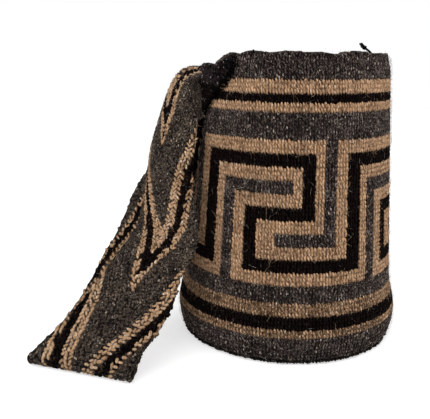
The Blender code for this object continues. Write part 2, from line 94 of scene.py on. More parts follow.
# Strap, as its solid is made.
STRAP_FLAT_WIDTH = 0.098
STRAP_THICKNESS = 0.0045
CHEVRON_REPEAT = 0.138
CHEVRON_SLOPE = 2.15
CHEVRON_TIP = 0.088
CHEVRON_FOLD_DRAW = 1.22
CHEVRON_STRIPES = (("tan", 0.015), ("black", 0.023), ("tan", 0.025))
OVERSEWN_END = 0.050
# Further down, only the side next to the bag is black: painted shadow of the gap between the strap and the bag.
PAINTED_SHADOW_END = 0.112
PAINTED_SHADOW_SHARE = 0.35
FLOOR_SETTLE = 0.060
SEAT = 0.5 * STRAP_THICKNESS + 0.5 * RELIEF + 0.0007
FAR_AZIMUTH = 44.0
FAR_HALF = 10.5
FAR_TOP = 0.955
FAR_DEPTH = 0.110
NEAR_END = ((213.5, 0.974), (236.0, 0.972), (226.0, 0.880))
NEAR_HIDDEN_SIDE = (207.0, 0.862)
YARN_TAIL = ((31.5, 1.030, 0.978), (32.0, 1.020, 1.002), (33.5, 0.995, 1.019), (36.0, 0.965, 1.032))

# Camera: found from the outline of the bag in the photograph.
CAMERA_PLACE = (0.0, -0.66165, 0.27467)
CAMERA_PITCH = 13.13
CAMERA_YAW = 6.54
CAMERA_ROLL = 0.81
CAMERA_LENS = 54.75

YARNS = ("tan", "black", "brown")
WALL_YARNS = (*YARNS, "umber")

# Wool that would hang through the floor is pressed flat on it.
FLOOR_GAP = 0.0001


def linear(colour):
    """An sRGB hex colour as linear red, green and blue."""
    parts = [int(colour[i:i + 2], 16) / 255.0 for i in (1, 3, 5)]
    return tuple(c / 12.92 if c <= 0.04045 else ((c + 0.055) / 1.055) ** 2.4 for c in parts)


# ---- settings in the sidebar ----

class CrochetSettings(bpy.types.PropertyGroup):
    """Sizes of the crocheted stitches."""

    prong_height: FloatProperty(
        name="Stitch height", description="From a stitch's foot to its tip over the next course",
        default=5.7 * MM, unit="LENGTH")
    prong_width: FloatProperty(
        name="Stitch width", description="Widest part of a stitch", default=3.0 * MM, unit="LENGTH")
    lean: FloatProperty(
        name="Lean", description="How far a stitch leans against the way of working",
        default=math.radians(17.0), subtype="ANGLE")
    relief: FloatProperty(
        name="Relief", description="How far a stitch stands out of the wall", default=1.5 * MM, unit="LENGTH")
    unevenness: FloatProperty(
        name="Unevenness", description="Share by which stitches made by hand differ", default=0.14, min=0.0)


class StrapSettings(bpy.types.PropertyGroup):
    """Sizes of the plaited strap."""

    strand: FloatProperty(
        name="Strand width", description="Width of one plaited strand", default=3.8 * MM, unit="LENGTH")
    lobe: FloatProperty(
        name="Lobe length", description="Length of one turn of a strand", default=3.9 * MM, unit="LENGTH")
    slant: FloatProperty(
        name="Lobe slant", description="Turn of each lobe to its strand", default=math.radians(34.0),
        subtype="ANGLE")
    relief: FloatProperty(
        name="Relief", description="How far a lobe stands out of the strap", default=1.6 * MM, unit="LENGTH")


class HairSettings(bpy.types.PropertyGroup):
    """The loose hairs of hand-spun wool."""

    per_square_cm: FloatProperty(
        name="Density", description="Hairs on one square centimetre", default=9.0, min=0.0)
    length: FloatProperty(
        name="Length", description="Usual length of a hair", default=4.6 * MM, unit="LENGTH")
    width: FloatProperty(
        name="Width", description="Width of a hair at its root", default=0.13 * MM, unit="LENGTH")
    seed: IntProperty(name="Seed", description="Another lay of hairs", default=11)


class WoolSettings(bpy.types.PropertyGroup):
    """The undyed colours of the wool."""

    tan: FloatVectorProperty(
        name="Light brown", description="Light brown sheep's wool", subtype="COLOR", size=3, min=0.0, max=1.0,
        default=linear("#BC9573"))
    black: FloatVectorProperty(
        name="Black", description="Black sheep's wool", subtype="COLOR", size=3, min=0.0, max=1.0,
        default=linear("#120B0A"))
    brown: FloatVectorProperty(
        name="Dark brown", description="Dark brown sheep's wool", subtype="COLOR", size=3, min=0.0, max=1.0,
        default=linear("#382E2B"))


SETTINGS = {
    "mochila_crochet": CrochetSettings,
    "mochila_strap": StrapSettings,
    "mochila_hair": HairSettings,
    "mochila_wool": WoolSettings,
}


# ---- the bag's form ----

def smooth_step(value):
    """Ease from 0 to 1."""
    value = np.clip(value, 0.0, 1.0)
    return value * value * (3.0 - 2.0 * value)


def wall_radius(height):
    """Outer radius of the wall at heights before the mouth is pulled down."""
    height = np.clip(height, 0.0, BAG_HEIGHT)
    rise = np.clip(1.0 - height / BELLY_HEIGHT, 0.0, 1.0)
    corner = BASE_FLAT_RADIUS + (BELLY_RADIUS - BASE_FLAT_RADIUS) * np.sqrt(1.0 - rise * rise)
    climb = (height - BELLY_HEIGHT) / (BAG_HEIGHT - BELLY_HEIGHT)
    taper = SHOULDER_RADIUS + (RIM_RADIUS - SHOULDER_RADIUS) * climb
    fade = np.clip((height - BELLY_HEIGHT) / BELLY_FADE, 0.0, 1.0)
    belly = (BELLY_RADIUS - SHOULDER_RADIUS) * np.cos(0.5 * math.pi * fade) ** 2
    tuck = RIM_TUCK * np.clip(1.0 - (BAG_HEIGHT - height) / RIM_TUCK_REACH, 0.0, 1.0) ** 2
    return np.where(height < BELLY_HEIGHT, corner, taper + belly - tuck)


def mouth_dip(azimuth):
    """How far the mouth's edge is pulled down."""
    total = 0.0
    for centre, depth, half_width, fade in MOUTH_DIPS:
        away = np.abs((azimuth - centre + 180.0) % 360.0 - 180.0)
        total = total + depth * smooth_step((half_width + fade - away) / fade)
    return total


def pull_share(height):
    """Share of the mouth's dip that reaches a height."""
    return smooth_step((height - BAG_HEIGHT + DIP_REACH) / DIP_REACH)


def lumps(azimuth):
    """Lumps along the mouth's edge."""
    turn = np.radians(azimuth)
    return sum(LUMP * np.sin(waves * turn + waves) for waves in LUMP_WAVES)


def pulled_height(azimuth, height):
    """Where the pull and the lumps bring a height of the wall."""
    lumpy = smooth_step((height - BAG_HEIGHT + LUMP_REACH) / LUMP_REACH)
    return height - mouth_dip(azimuth) * pull_share(height) + lumps(azimuth) * lumpy


def unpulled(azimuth, height):
    """Heights before the pull of points of the wall."""
    low, high = height, height + mouth_dip(azimuth)
    for _ in range(24):
        middle = 0.5 * (low + high)
        above = middle - mouth_dip(azimuth) * pull_share(middle) > height
        low, high = np.where(above, low, middle), np.where(above, middle, high)
    return 0.5 * (low + high)


def lean_of_wall(azimuth, height):
    """How much longer the level way to the leaning wall is than the shortest."""
    high, low = height + MM, height - MM
    rise = high - low - mouth_dip(azimuth) * (pull_share(high) - pull_share(low))
    run = wall_radius(high) - wall_radius(low)
    return np.minimum(np.hypot(run, rise) / rise, 2.0)


def round_point(azimuth, radius, height):
    """Points from their azimuths, radii and heights."""
    turn = np.radians(azimuth)
    azimuth, radius, height = np.broadcast_arrays(azimuth, radius, height)
    return np.stack([radius * np.cos(turn), radius * np.sin(turn), height], axis=-1)


def unit(vectors):
    """Vectors of length 1."""
    return vectors / np.maximum(np.linalg.norm(vectors, axis=-1, keepdims=True), 1e-12)


def wall_frame(azimuth, height, level):
    """Points at a distance from the wall, with the ways right, up and out there."""
    def at(turned, raised):
        return round_point(turned, wall_radius(raised), pulled_height(turned, raised))

    spot = at(azimuth, height)
    right = unit(at(azimuth + 0.2, height) - at(azimuth - 0.2, height))
    up = unit(at(azimuth, height + 0.4 * MM) - at(azimuth, height - 0.4 * MM))
    out = unit(np.cross(right, up))
    return spot + out * np.asarray(level)[..., None], right, up, out


def on_line(column, row, line):
    """Whether a block of the fret lies on a line of straight strokes."""
    for (left, low), (right, high) in zip(line, line[1:]):
        if min(left, right) <= column <= max(left, right) and min(low, high) <= row <= max(low, high):
            return True
    return False


def fret_yarn(column, row):
    """Yarn of one block of the fret, with rows counted down from its top."""
    if on_line(column, row, MEANDER) or on_line(column + len(FRET_COLUMNS), row, MEANDER):
        return "black"
    return "brown" if any(on_line(column, row, hook) for hook in HOOKS) else "tan"


def stitch_chart():
    """Yarn number of every stitch: courses from the base up, stitches from the fret's start."""
    chart = np.zeros((COURSES, STITCHES_ROUND), dtype=int)
    blocks = len(FRET_COLUMNS)
    widths = [width + (block < widened) for widened in FRET_WIDENED for block, width in enumerate(FRET_COLUMNS)]
    owner = np.repeat(np.arange(len(widths)) % blocks, widths)
    first = sum(widths[:blocks])
    start = 0
    for yarn, courses in BANDS:
        for course in range(start, start + courses):
            if yarn != "fret":
                chart[course] = WALL_YARNS.index(yarn)
                continue
            row = FRET_ROWS - 1 - (course - start) * FRET_ROWS // courses
            for stitch in range(STITCHES_ROUND):
                block = int(owner[(stitch + first) % STITCHES_ROUND])
                chart[course, stitch] = YARNS.index(fret_yarn(block, row))
        start += courses
    return chart


# ---- the strap's form ----

def rim_middle(azimuth):
    """Radius and height of the middle of the mouth's rounded edge."""
    half = 0.5 * WALL_THICKNESS
    return wall_radius(BAG_HEIGHT - half) - half, BAG_HEIGHT - mouth_dip(azimuth) + lumps(azimuth) - half


def on_wall(azimuth, share):
    """The strap's middle where it lies on the wall."""
    raw = share * BAG_HEIGHT
    height = raw - mouth_dip(azimuth) * pull_share(raw)
    before = unpulled(azimuth, height)
    return round_point(azimuth, wall_radius(before) + SEAT * lean_of_wall(azimuth, before), height)


def round_rim(azimuth, angle, lift):
    """The strap's middle round the mouth's edge, from 0 degrees outside it to 180 inside."""
    radius, height = rim_middle(azimuth)
    reach = 0.5 * WALL_THICKNESS + SEAT + lift
    turn = math.radians(angle)
    return round_point(azimuth, radius + reach * math.cos(turn), height + reach * math.sin(turn))


def in_air(azimuth, reach, share):
    """A point off the wall, at a multiple of its radius and a share of the bag's height."""
    height = share * BAG_HEIGHT
    radius = reach * wall_radius(max(height, BELLY_HEIGHT))
    return round_point(azimuth, radius + (SEAT if reach >= 1.0 else 0.0), height)


def far_corners():
    """Corners of the sewn far end, from the mouth down one side and up the other."""
    left, right = FAR_AZIMUTH + FAR_HALF, FAR_AZIMUTH - FAR_HALF
    low = FAR_TOP - FAR_DEPTH
    return [(left, FAR_TOP), (left, low), (right, low), (right, FAR_TOP)]


def sewn_run(start, end):
    """Stations of a sewn stretch between two pairs of corners."""
    run = []
    for share in np.linspace(0.0, 1.0, 5):
        left, right = np.array(start) * (1.0 - share) + np.array(end) * share
        run.append((on_wall(*left), on_wall(*right), 0.0))
    return run


def strap_stations():
    """The strap's route from its far end to its near end: left side, right side and bow.

    Round the mouth's edge the lists give azimuths, angles round the edge and lift. In the air they give,
    for each side, its azimuth, its distance as a multiple of the wall's radius and its share of the height.
    """
    far_high, far_low, far_low_right, far_high_right = far_corners()
    left, right = far_high[0], far_high_right[0]
    near_left, near_right, near_side = NEAR_END
    over_far = [(round_rim(left + turn, angle, lift), round_rim(right - turn, angle, lift), bow)
                for turn, angle, lift, bow in (
                    (0.0, 15.0, 0.0, 0.001), (0.5, 65.0, 0.001, 0.001),
                    (1.0, 115.0, 0.001, 0.001), (2.0, 165.0, 0.0, 0.0))]
    over_near = [(round_rim(one, angle, lift), round_rim(two, other, lift), bow)
                 for one, two, angle, other, lift, bow in (
                     (181.5, 210.5, 165.0, 165.0, 0.0, 0.0), (182.0, 210.0, 115.0, 115.0, 0.001, 0.002),
                     (183.0, 209.5, 65.0, 65.0, 0.001, 0.004), (184.5, 210.0, 20.0, 15.0, 0.001, 0.006))]
    across_mouth = [
        ((72.0, 0.740, 0.885), (25.0, 0.560, 0.885), -0.003),
        ((121.0, 0.547, 0.810), (301.0, 0.105, 0.810), -0.005),
        ((170.0, 0.740, 0.850), (216.0, 0.573, 0.840), -0.003),
    ]
    falling = [
        ((188.0, 1.110, 0.915), (210.6, 1.100, 0.900), 0.009),
        ((190.5, 1.175, 0.872), (213.6, 1.135, 0.870), 0.012),
        ((194.0, 1.262, 0.812), (217.0, 1.135, 0.832), 0.013),
        ((197.0, 1.335, 0.755), (220.5, 1.130, 0.778), 0.014),
        ((201.0, 1.405, 0.685), (223.0, 1.170, 0.696), 0.014),
        ((204.0, 1.440, 0.612), (225.0, 1.210, 0.618), 0.014),
        ((208.0, 1.480, 0.517), (227.5, 1.215, 0.524), 0.013),
        ((211.0, 1.560, 0.430), (231.0, 1.210, 0.430), 0.011),
        ((212.0, 1.710, 0.357), (232.0, 1.270, 0.364), 0.008),
        ((213.0, 1.880, 0.282), (232.5, 1.410, 0.306), 0.005),
        ((213.0, 1.990, 0.216), (233.5, 1.510, 0.224), 0.004),
        ((213.0, 2.130, 0.132), (234.0, 1.630, 0.153), 0.002),
        ((212.2, 2.300, 0.064), (232.8, 1.760, 0.086), 0.001),
        ((211.8, 2.375, 0.032), (232.2, 1.830, 0.036), 0.0),
    ]
    rising = [
        ((210.8, 2.330, 0.009), (231.0, 1.780, 0.009), 0.0),
        ((209.8, 2.180, 0.070), (228.4, 1.620, 0.080), -0.001),
        ((208.0, 1.990, 0.172), (226.0, 1.470, 0.180), -0.003),
        ((207.0, 1.910, 0.249), (223.0, 1.370, 0.260), -0.005),
        ((204.0, 1.800, 0.320), (220.0, 1.280, 0.330), -0.006),
        ((202.0, 1.700, 0.375), (218.0, 1.190, 0.390), -0.007),
        ((200.0, 1.610, 0.451), (216.0, 1.100, 0.464), -0.008),
        ((196.5, 1.520, 0.529), (214.0, 1.040, 0.541), -0.008),
        ((194.5, 1.400, 0.595), (212.5, 1.020, 0.600), -0.007),
        ((194.0, 1.270, 0.664), (211.5, 1.010, 0.670), -0.006),
        ((196.0, 1.140, 0.735), (212.0, 1.000, 0.745), -0.004),
        ((200.5, 1.050, 0.800), (216.5, 1.000, 0.812), -0.002),
    ]

    def in_the_air(stations):
        return [(in_air(*one), in_air(*two), bow) for one, two, bow in stations]

    far_sewn = sewn_run((far_low, far_low_right), (far_high, far_high_right))
    near_sewn = sewn_run((NEAR_HIDDEN_SIDE, near_side), (near_left, near_right))
    middle = over_far + in_the_air(across_mouth) + over_near + in_the_air(falling + rising)
    return far_sewn + middle + near_sewn


def smooth_run(points, per_span):
    """Points along a smooth curve through the given ones, per_span of them between two."""
    padded = np.vstack([2 * points[0] - points[1], points, 2 * points[-1] - points[-2]])
    run = []

    def mix(one, two, start, end, time):
        share = (time - start) / (end - start)
        return one * (1.0 - share) + two * share

    for corners in zip(padded, padded[1:], padded[2:], padded[3:]):
        knots = [0.0]
        for one, two in zip(corners, corners[1:]):
            knots.append(knots[-1] + max(np.linalg.norm(two[:3] - one[:3]), 1e-6) ** 0.5)
        for step in range(per_span):
            time = knots[1] + (knots[2] - knots[1]) * step / per_span
            first = [mix(corners[i], corners[i + 1], knots[i], knots[i + 1], time) for i in range(3)]
            second = [mix(first[i], first[i + 1], knots[i], knots[i + 2], time) for i in range(2)]
            run.append(mix(second[0], second[1], knots[1], knots[2], time))
    run.append(points[-1])
    return np.array(run)


def clear_of_wall(rows):
    """Push the strap out to its seat wherever it would sink into the wall or the mouth's edge."""
    azimuth = np.degrees(np.arctan2(rows[..., 1], rows[..., 0]))
    radius = np.hypot(rows[..., 0], rows[..., 1])
    height = rows[..., 2]
    half = 0.5 * WALL_THICKNESS
    over, cap = rim_middle(azimuth)
    before = unpulled(azimuth, height)
    core = wall_radius(before) - half
    side = np.where(radius >= core, 1.0, -1.0)
    pushed = core + side * np.maximum(np.abs(radius - core), half + SEAT * lean_of_wall(azimuth, before))
    gap = np.hypot(radius - over, height - cap)
    stretch = np.maximum(1.0, (half + SEAT) / np.maximum(gap, 1e-6))
    above = height > cap
    new_radius = np.where(above, over + (radius - over) * stretch, pushed)
    new_height = np.where(above, cap + (height - cap) * stretch, height)
    return round_point(azimuth, new_radius, new_height)


class StrapSurface:
    """The middle surface of the strap, as a fine grid that can be asked for points and ways."""

    ROW = 0.0025
    COLUMNS = 24
    PER_SPAN = 24
    LAYINGS = 3

    def __init__(self):
        stations = strap_stations()
        edges = np.array([np.concatenate([0.5 * (one + two), one, two, [bow]]) for one, two, bow in stations])
        fine = smooth_run(edges, self.PER_SPAN)
        length = np.concatenate([[0.0], np.cumsum(np.linalg.norm(np.diff(fine[:, :3], axis=0), axis=1))])
        self.rows = int(round(length[-1] / self.ROW))
        self.along = np.linspace(0.0, length[-1], self.rows + 1)
        even = np.stack([np.interp(self.along, length, fine[:, k]) for k in range(10)], axis=-1)
        middle, left, right, bow = even[:, :3], even[:, 3:6], even[:, 6:9], even[:, 9]
        outside = unit(np.cross(np.gradient(middle, axis=0), right - left))
        across = np.linspace(-1.0, 1.0, self.COLUMNS + 1)
        chord = middle[:, None] + 0.5 * across[None, :, None] * (right - left)[:, None]
        grid = chord + outside[:, None] * (bow[:, None] * (1.0 - across ** 2))[..., None]
        for _ in range(self.LAYINGS):
            laid = clear_of_wall(grid)
            touching = np.linalg.norm(laid - grid, axis=-1, keepdims=True) > 0.03 * MM
            eased = laid.copy()
            eased[1:-1] = 0.25 * laid[:-2] + 0.5 * laid[1:-1] + 0.25 * laid[2:]
            grid = np.where(touching, eased, laid)
        grid = clear_of_wall(grid)
        low = grid[..., 2].min() - 0.5 * STRAP_THICKNESS
        grid[..., 2] -= low * (1.0 - smooth_step(grid[..., 2] / FLOOR_SETTLE))
        self.grid = grid
        self.fold = self.along[int(np.argmin(middle[:, 2]))]
        self.half_width = 0.5 * np.linalg.norm(right - left, axis=1)
        down = np.gradient(grid, axis=0)
        over = np.gradient(grid, axis=1)
        self.down = unit(down)
        self.out = unit(np.cross(down, over))
        step = np.linalg.norm(np.diff(grid, axis=0), axis=-1).mean(axis=1)
        width = np.linalg.norm(np.diff(grid, axis=1), axis=-1).sum(axis=1)
        self.length = float(step.sum())
        self.width = width
        self.area = float((step * 0.5 * (width[1:] + width[:-1])).sum())

    def ask(self, table, along, across):
        """Values of a table of the grid at lengths along and shares across from -1 to 1."""
        i = np.clip(along / self.along[-1], 0.0, 1.0) * self.rows
        j = np.clip(0.5 * (across + 1.0), 0.0, 1.0) * self.COLUMNS
        i0 = np.minimum(i.astype(int), self.rows - 1)
        j0 = np.minimum(j.astype(int), self.COLUMNS - 1)
        di, dj = (i - i0)[..., None], (j - j0)[..., None]
        top = table[i0, j0] * (1 - dj) + table[i0, j0 + 1] * dj
        low = table[i0 + 1, j0] * (1 - dj) + table[i0 + 1, j0 + 1] * dj
        return top * (1 - di) + low * di

    def spot(self, along, across):
        """Places on the middle surface, with the ways out of it and down along it."""
        place = self.ask(self.grid, along, across)
        return place, unit(self.ask(self.out, along, across)), unit(self.ask(self.down, along, across))

    def yarn(self, along, across):
        """Yarn numbers of the nested chevrons at lengths along and shares across from -1 to 1."""
        flat = 0.5 * STRAP_FLAT_WIDTH * np.abs(across)
        # Hand plaiting: the stripes wander by a strand's width.
        wander = 1.8 * MM * np.sin(along / (8.7 * MM) + 3.0 * across)
        wander = wander + 1.4 * MM * np.sin(along / (3.9 * MM) - 5.0 * across)
        upward = self.fold - along - CHEVRON_TIP + wander
        upward = np.where(upward < 0.0, upward / CHEVRON_FOLD_DRAW, upward)
        phase = (upward - CHEVRON_SLOPE * flat) % CHEVRON_REPEAT
        number = np.full(np.shape(phase), YARNS.index("brown"))
        start = 0.0
        for yarn, width in CHEVRON_STRIPES:
            number = np.where((phase >= start) & (phase < start + width), YARNS.index(yarn), number)
            start += width
        left = self.along[-1] - along
        # Black where the end is oversewn, and further down along the side next to the bag as painted shadow of
        # the gap.
        black = (left < OVERSEWN_END) | ((left < PAINTED_SHADOW_END) & (across > PAINTED_SHADOW_SHARE))
        return np.where(black, YARNS.index("black"), number)


# ---- meshes ----

def grid_quads(rows, columns, closed=False):
    """Corner numbers of the faces of a grid of points, closed along its columns if asked."""
    i, j = np.meshgrid(np.arange(rows - 1), np.arange(columns if closed else columns - 1), indexing="ij")
    k = (j + 1) % columns
    return np.stack([i * columns + j, i * columns + k, (i + 1) * columns + k, (i + 1) * columns + j],
                    axis=-1).reshape(-1, 4)


def lobe_shape(stations, turns=(-1.0, -0.42, 0.42, 1.0)):
    """Points and faces of one soft lobe of yarn, from (along, half width, crest, root) stations."""
    points = []
    for along, half, crest, root in stations:
        for turn in turns:
            lift = math.sqrt(max(0.0, 1.0 - turn * turn))
            points.append((half * turn, along, root + (crest - root) * lift))
    return np.array(points), grid_quads(len(stations), len(turns))


def scatter(shape, place, right, up, out, size, spread=0.0, seed=1):
    """Copies of a lobe at places, each with its own ways and (x, y, z) size.

    Returns all points, all faces and each point's crest from 0 to 1: how far it stands up in its lobe, lowered
    for some lobes to give them more painted shade.
    """
    points, quads = shape
    rng = np.random.default_rng(seed)
    count = len(place)
    size = np.broadcast_to(size, (count, 3)) * (1.0 + spread * rng.uniform(-1.0, 1.0, (count, 3)))
    local = points[None] * size[:, None]
    ways = np.stack([right, up, out], axis=1)
    spots = place[:, None] + np.einsum("npk,nkc->npc", local, ways)
    spots[..., 2] = np.maximum(spots[..., 2], FLOOR_GAP)
    faces = quads[None] + (np.arange(count) * len(points))[:, None, None]
    crest = np.clip((points[:, 2] + 0.6) / 1.6, 0.0, 1.0)
    # Some lobes get a little more painted shade than their neighbours, as if they lay deeper.
    crest = crest[None] * (1.0 - 0.34 * rng.uniform(0.0, 1.0, (count, 1)) ** 1.5)
    return spots.reshape(-1, 3), faces.reshape(-1, 4), crest.ravel()


def scatter_some(mine, shape, place, right, up, out, size, spread, seed):
    """Copies of a lobe at the marked places only."""
    return scatter(shape, place[mine], right[mine], up[mine], out[mine], size[mine], spread, seed)


def yarn_sizes(rng, count, *ranges):
    """Random sizes of loops of yarn, from a range in mm for each way."""
    return np.stack([rng.uniform(low, high, count) * MM for low, high in ranges], axis=1)


def facing(out, way):
    """Ways out of a surface, turned over where they look against a way."""
    return out * np.where(out @ np.array(way) < 0.0, -1.0, 1.0)[:, None]


def turned(right, up, angle):
    """Ways right and up after a turn in their plane; a positive angle leans up towards -right."""
    angle = np.asarray(angle)[..., None]
    return (right * np.cos(angle) + up * np.sin(angle), up * np.cos(angle) - right * np.sin(angle))


def add_mesh(name, points, quads, materials, numbers=None, crest=None):
    """A smooth piece from points and four-cornered faces, with a material number per face.

    The crest of each point is 1 on top of the yarn and 0 deep between the yarns; the wools paint shade into
    their colour where it is low.
    """
    mesh = bpy.data.meshes.new(name)
    mesh.vertices.add(len(points))
    mesh.vertices.foreach_set("co", np.asarray(points, dtype=np.float32).ravel())
    mesh.loops.add(4 * len(quads))
    mesh.loops.foreach_set("vertex_index", np.asarray(quads, dtype=np.int32).ravel())
    mesh.polygons.add(len(quads))
    mesh.polygons.foreach_set("loop_start", np.arange(0, 4 * len(quads), 4, dtype=np.int32))
    for material in materials:
        mesh.materials.append(material)
    if numbers is not None:
        mesh.polygons.foreach_set("material_index", np.asarray(numbers, dtype=np.int32))
    mesh.update(calc_edges=True)
    if crest is not None:
        layer = mesh.attributes.new("crest", "FLOAT", "POINT")
        layer.data.foreach_set("value", np.asarray(crest, dtype=np.float32))
    mesh.validate()
    mesh.shade_smooth()
    piece = bpy.data.objects.new(name, mesh)
    bpy.context.scene.collection.objects.link(piece)
    return piece


def add_yarn(name, path, radius, material):
    """A round yarn through the points of a path."""
    curve = bpy.data.curves.new(name, "CURVE")
    curve.dimensions = "3D"
    curve.bevel_depth = radius
    curve.bevel_resolution = 2
    curve.resolution_u = 3
    curve.use_fill_caps = True
    spline = curve.splines.new("BEZIER")
    spline.bezier_points.add(len(path) - 1)
    for point, position in zip(spline.bezier_points, path):
        point.co = Vector(position)
        point.handle_left_type = "AUTO"
        point.handle_right_type = "AUTO"
    guide = bpy.data.objects.new(name, curve)
    bpy.context.scene.collection.objects.link(guide)
    mesh = bpy.data.meshes.new_from_object(guide.evaluated_get(bpy.context.evaluated_depsgraph_get()))
    bpy.data.objects.remove(guide, do_unlink=True)
    mesh.name = name
    mesh.materials.clear()
    mesh.materials.append(material)
    mesh.shade_smooth()
    piece = bpy.data.objects.new(name, mesh)
    bpy.context.scene.collection.objects.link(piece)
    return piece


def hair_strips(place, way, out, length, width, rise, seed):
    """Fine tapered hairs that start at places and run along ways, lifted off the surface."""
    rng = np.random.default_rng(seed)
    count = len(place)
    side = unit(np.cross(out, way))
    roll = rng.uniform(0.0, math.pi, (count, 1))
    flat = side * np.cos(roll) + out * np.sin(roll)
    curl = side * rng.normal(0.0, 0.22, (count, 1))
    length = length * np.exp(rng.normal(0.0, 0.42, (count, 1)))
    rise = rise * np.exp(rng.normal(0.0, 0.6, (count, 1)))
    points = []
    for share in (0.0, 0.5, 1.0):
        middle = (place + way * length * share + curl * length * share * share
                  + out * rise * math.sin(0.72 * math.pi * share))
        half = 0.5 * width * (1.0 - 0.6 * share)
        points.extend([middle - flat * half, middle + flat * half])
    spots = np.stack(points, axis=1)
    spots[..., 2] = np.maximum(spots[..., 2], FLOOR_GAP)
    quads = np.array([(0, 1, 3, 2), (2, 3, 5, 4)])
    faces = quads[None] + (np.arange(count) * 6)[:, None, None]
    return spots.reshape(-1, 3), faces.reshape(-1, 4)


# ---- wool ----

def add_node(tree, kind, settings=None, inputs=None, links=None):
    """One node with its settings, its input values and the sockets that feed it."""
    node = tree.nodes.new(kind)
    for name, value in (settings or {}).items():
        setattr(node, name, value)
    for name, value in (inputs or {}).items():
        node.inputs[name].default_value = value
    for name, socket in (links or {}).items():
        tree.links.new(socket, node.inputs[name])
    return node


def set_ramp(node, stops):
    """Positions and colours of a colour ramp."""
    ramp = node.color_ramp
    while len(ramp.elements) > 1:
        ramp.elements.remove(ramp.elements[-1])
    ramp.elements[0].position = stops[0][0]
    ramp.elements[0].color = (*stops[0][1], 1.0)
    for position, colour in stops[1:]:
        ramp.elements.new(position).color = (*colour, 1.0)


def shade(wool, colour, factor=1.0, towards="#000000", share=0.0):
    """An sRGB hex colour, or one of the fleeces made lighter or darker and drawn towards a colour."""
    if colour.startswith("#"):
        return linear(colour)
    return tuple(min(1.0, c * factor * (1.0 - share) + t * share)
                 for c, t in zip(getattr(wool, colour), linear(towards)))


def new_material(name):
    """A material with its nodes and its shader."""
    material = bpy.data.materials.new(name)
    material.use_nodes = True
    return material, material.node_tree, material.node_tree.nodes["Principled BSDF"]


def wool_material(name, wool, shades, stray_and_glint, strays_and_glints, width, gap_light, gloss=0.08, sheen=0.03):
    """Undyed wool, spun by hand: matt, with fibres of several shades side by side."""
    material, tree, shader = new_material(name)
    place = add_node(tree, "ShaderNodeTexCoord").outputs["Object"]
    # Fibres run up the stitches, so the shades are drawn out to about twice their width.
    drawn = add_node(tree, "ShaderNodeMapping", inputs={"Scale": (1.0, 1.0, 0.55)}, links={"Vector": place})
    fibres = add_node(tree, "ShaderNodeTexNoise", inputs={
        "Scale": 1.0 / (width * MM), "Detail": 3.0, "Roughness": 0.62}, links={"Vector": drawn.outputs[0]})
    # Tufts of fleece, each a little lighter or darker, reach over about four stitches.
    tufts = add_node(tree, "ShaderNodeTexNoise", inputs={
        "Scale": 1.0 / (14.0 * MM), "Detail": 2.0, "Roughness": 0.5}, links={"Vector": place})
    mixed = add_node(tree, "ShaderNodeMath", {"operation": "MULTIPLY_ADD"}, {1: 0.30},
                     {0: tufts.outputs["Fac"], 2: fibres.outputs["Fac"]})
    ramp = add_node(tree, "ShaderNodeValToRGB", links={"Fac": mixed.outputs[0]})
    set_ramp(ramp, [(position, shade(wool, *colour)) for position, *colour in shades])
    # Single pale or dark fibres, about 1 mm of each shows before it goes back into the yarn. They are drawn
    # several times as thick as real ones, which are too fine to show. On the black sewing yarn the same flecks
    # are painted glints.
    cells = add_node(tree, "ShaderNodeTexVoronoi", {"feature": "F1"}, {
        "Scale": 1.0 / (1.7 * MM), "Randomness": 1.0}, {"Vector": drawn.outputs[0]})
    chosen = add_node(tree, "ShaderNodeSeparateColor", links={"Color": cells.outputs["Color"]})
    rare = add_node(tree, "ShaderNodeMath", {"operation": "GREATER_THAN"}, {1: 1.0 - strays_and_glints},
                    {0: chosen.outputs["Red"]})
    near = add_node(tree, "ShaderNodeMath", {"operation": "LESS_THAN"}, {1: 0.42},
                    {0: cells.outputs["Distance"]})
    both = add_node(tree, "ShaderNodeMath", {"operation": "MULTIPLY"}, links={
        0: rare.outputs[0], 1: near.outputs[0]})
    flecked = add_node(tree, "ShaderNodeMix", {"data_type": "RGBA"}, links={
        "Factor": both.outputs[0], "A": ramp.outputs["Color"]})
    flecked.inputs["B"].default_value = (*linear(stray_and_glint), 1.0)
    # Painted shade: the colour is darkened towards the bottom of the gaps between the yarns, where light hardly
    # reaches.
    depth = add_node(tree, "ShaderNodeAttribute", {"attribute_name": "crest"})
    light = add_node(tree, "ShaderNodeMapRange", {"interpolation_type": "SMOOTHSTEP"}, {
        "From Min": 0.15, "From Max": 0.85, "To Min": gap_light, "To Max": 1.0},
        {"Value": depth.outputs["Fac"]})
    deep = add_node(tree, "ShaderNodeVectorMath", {"operation": "SCALE"}, links={
        0: flecked.outputs["Result"], "Scale": light.outputs["Result"]})
    tree.links.new(deep.outputs[0], shader.inputs["Base Color"])
    twist = add_node(tree, "ShaderNodeTexNoise", inputs={
        "Scale": 1.0 / (0.45 * MM), "Detail": 2.0}, links={"Vector": drawn.outputs[0]})
    bump = add_node(tree, "ShaderNodeBump", inputs={"Strength": 0.7, "Distance": 0.35 * MM}, links={
        "Height": twist.outputs["Fac"]})
    tree.links.new(bump.outputs["Normal"], shader.inputs["Normal"])
    shader.inputs["Roughness"].default_value = 0.93
    shader.inputs["Specular IOR Level"].default_value = gloss
    shader.inputs["Sheen Weight"].default_value = sheen
    shader.inputs["Sheen Roughness"].default_value = 0.5
    return material


def hair_material(name, dark, light):
    """Loose wool hairs, each of its own shade between two."""
    material, tree, shader = new_material(name)
    place = add_node(tree, "ShaderNodeTexCoord").outputs["Object"]
    # One shade holds for 6 mm, a little more than a hair's length.
    spots = add_node(tree, "ShaderNodeTexNoise", inputs={
        "Scale": 1.0 / (6.0 * MM), "Detail": 1.0}, links={"Vector": place})
    ramp = add_node(tree, "ShaderNodeValToRGB", links={"Fac": spots.outputs["Fac"]})
    set_ramp(ramp, [(0.35, linear(dark)), (0.65, linear(light))])
    tree.links.new(ramp.outputs["Color"], shader.inputs["Base Color"])
    shader.inputs["Roughness"].default_value = 0.7
    shader.inputs["Specular IOR Level"].default_value = 0.3
    return material
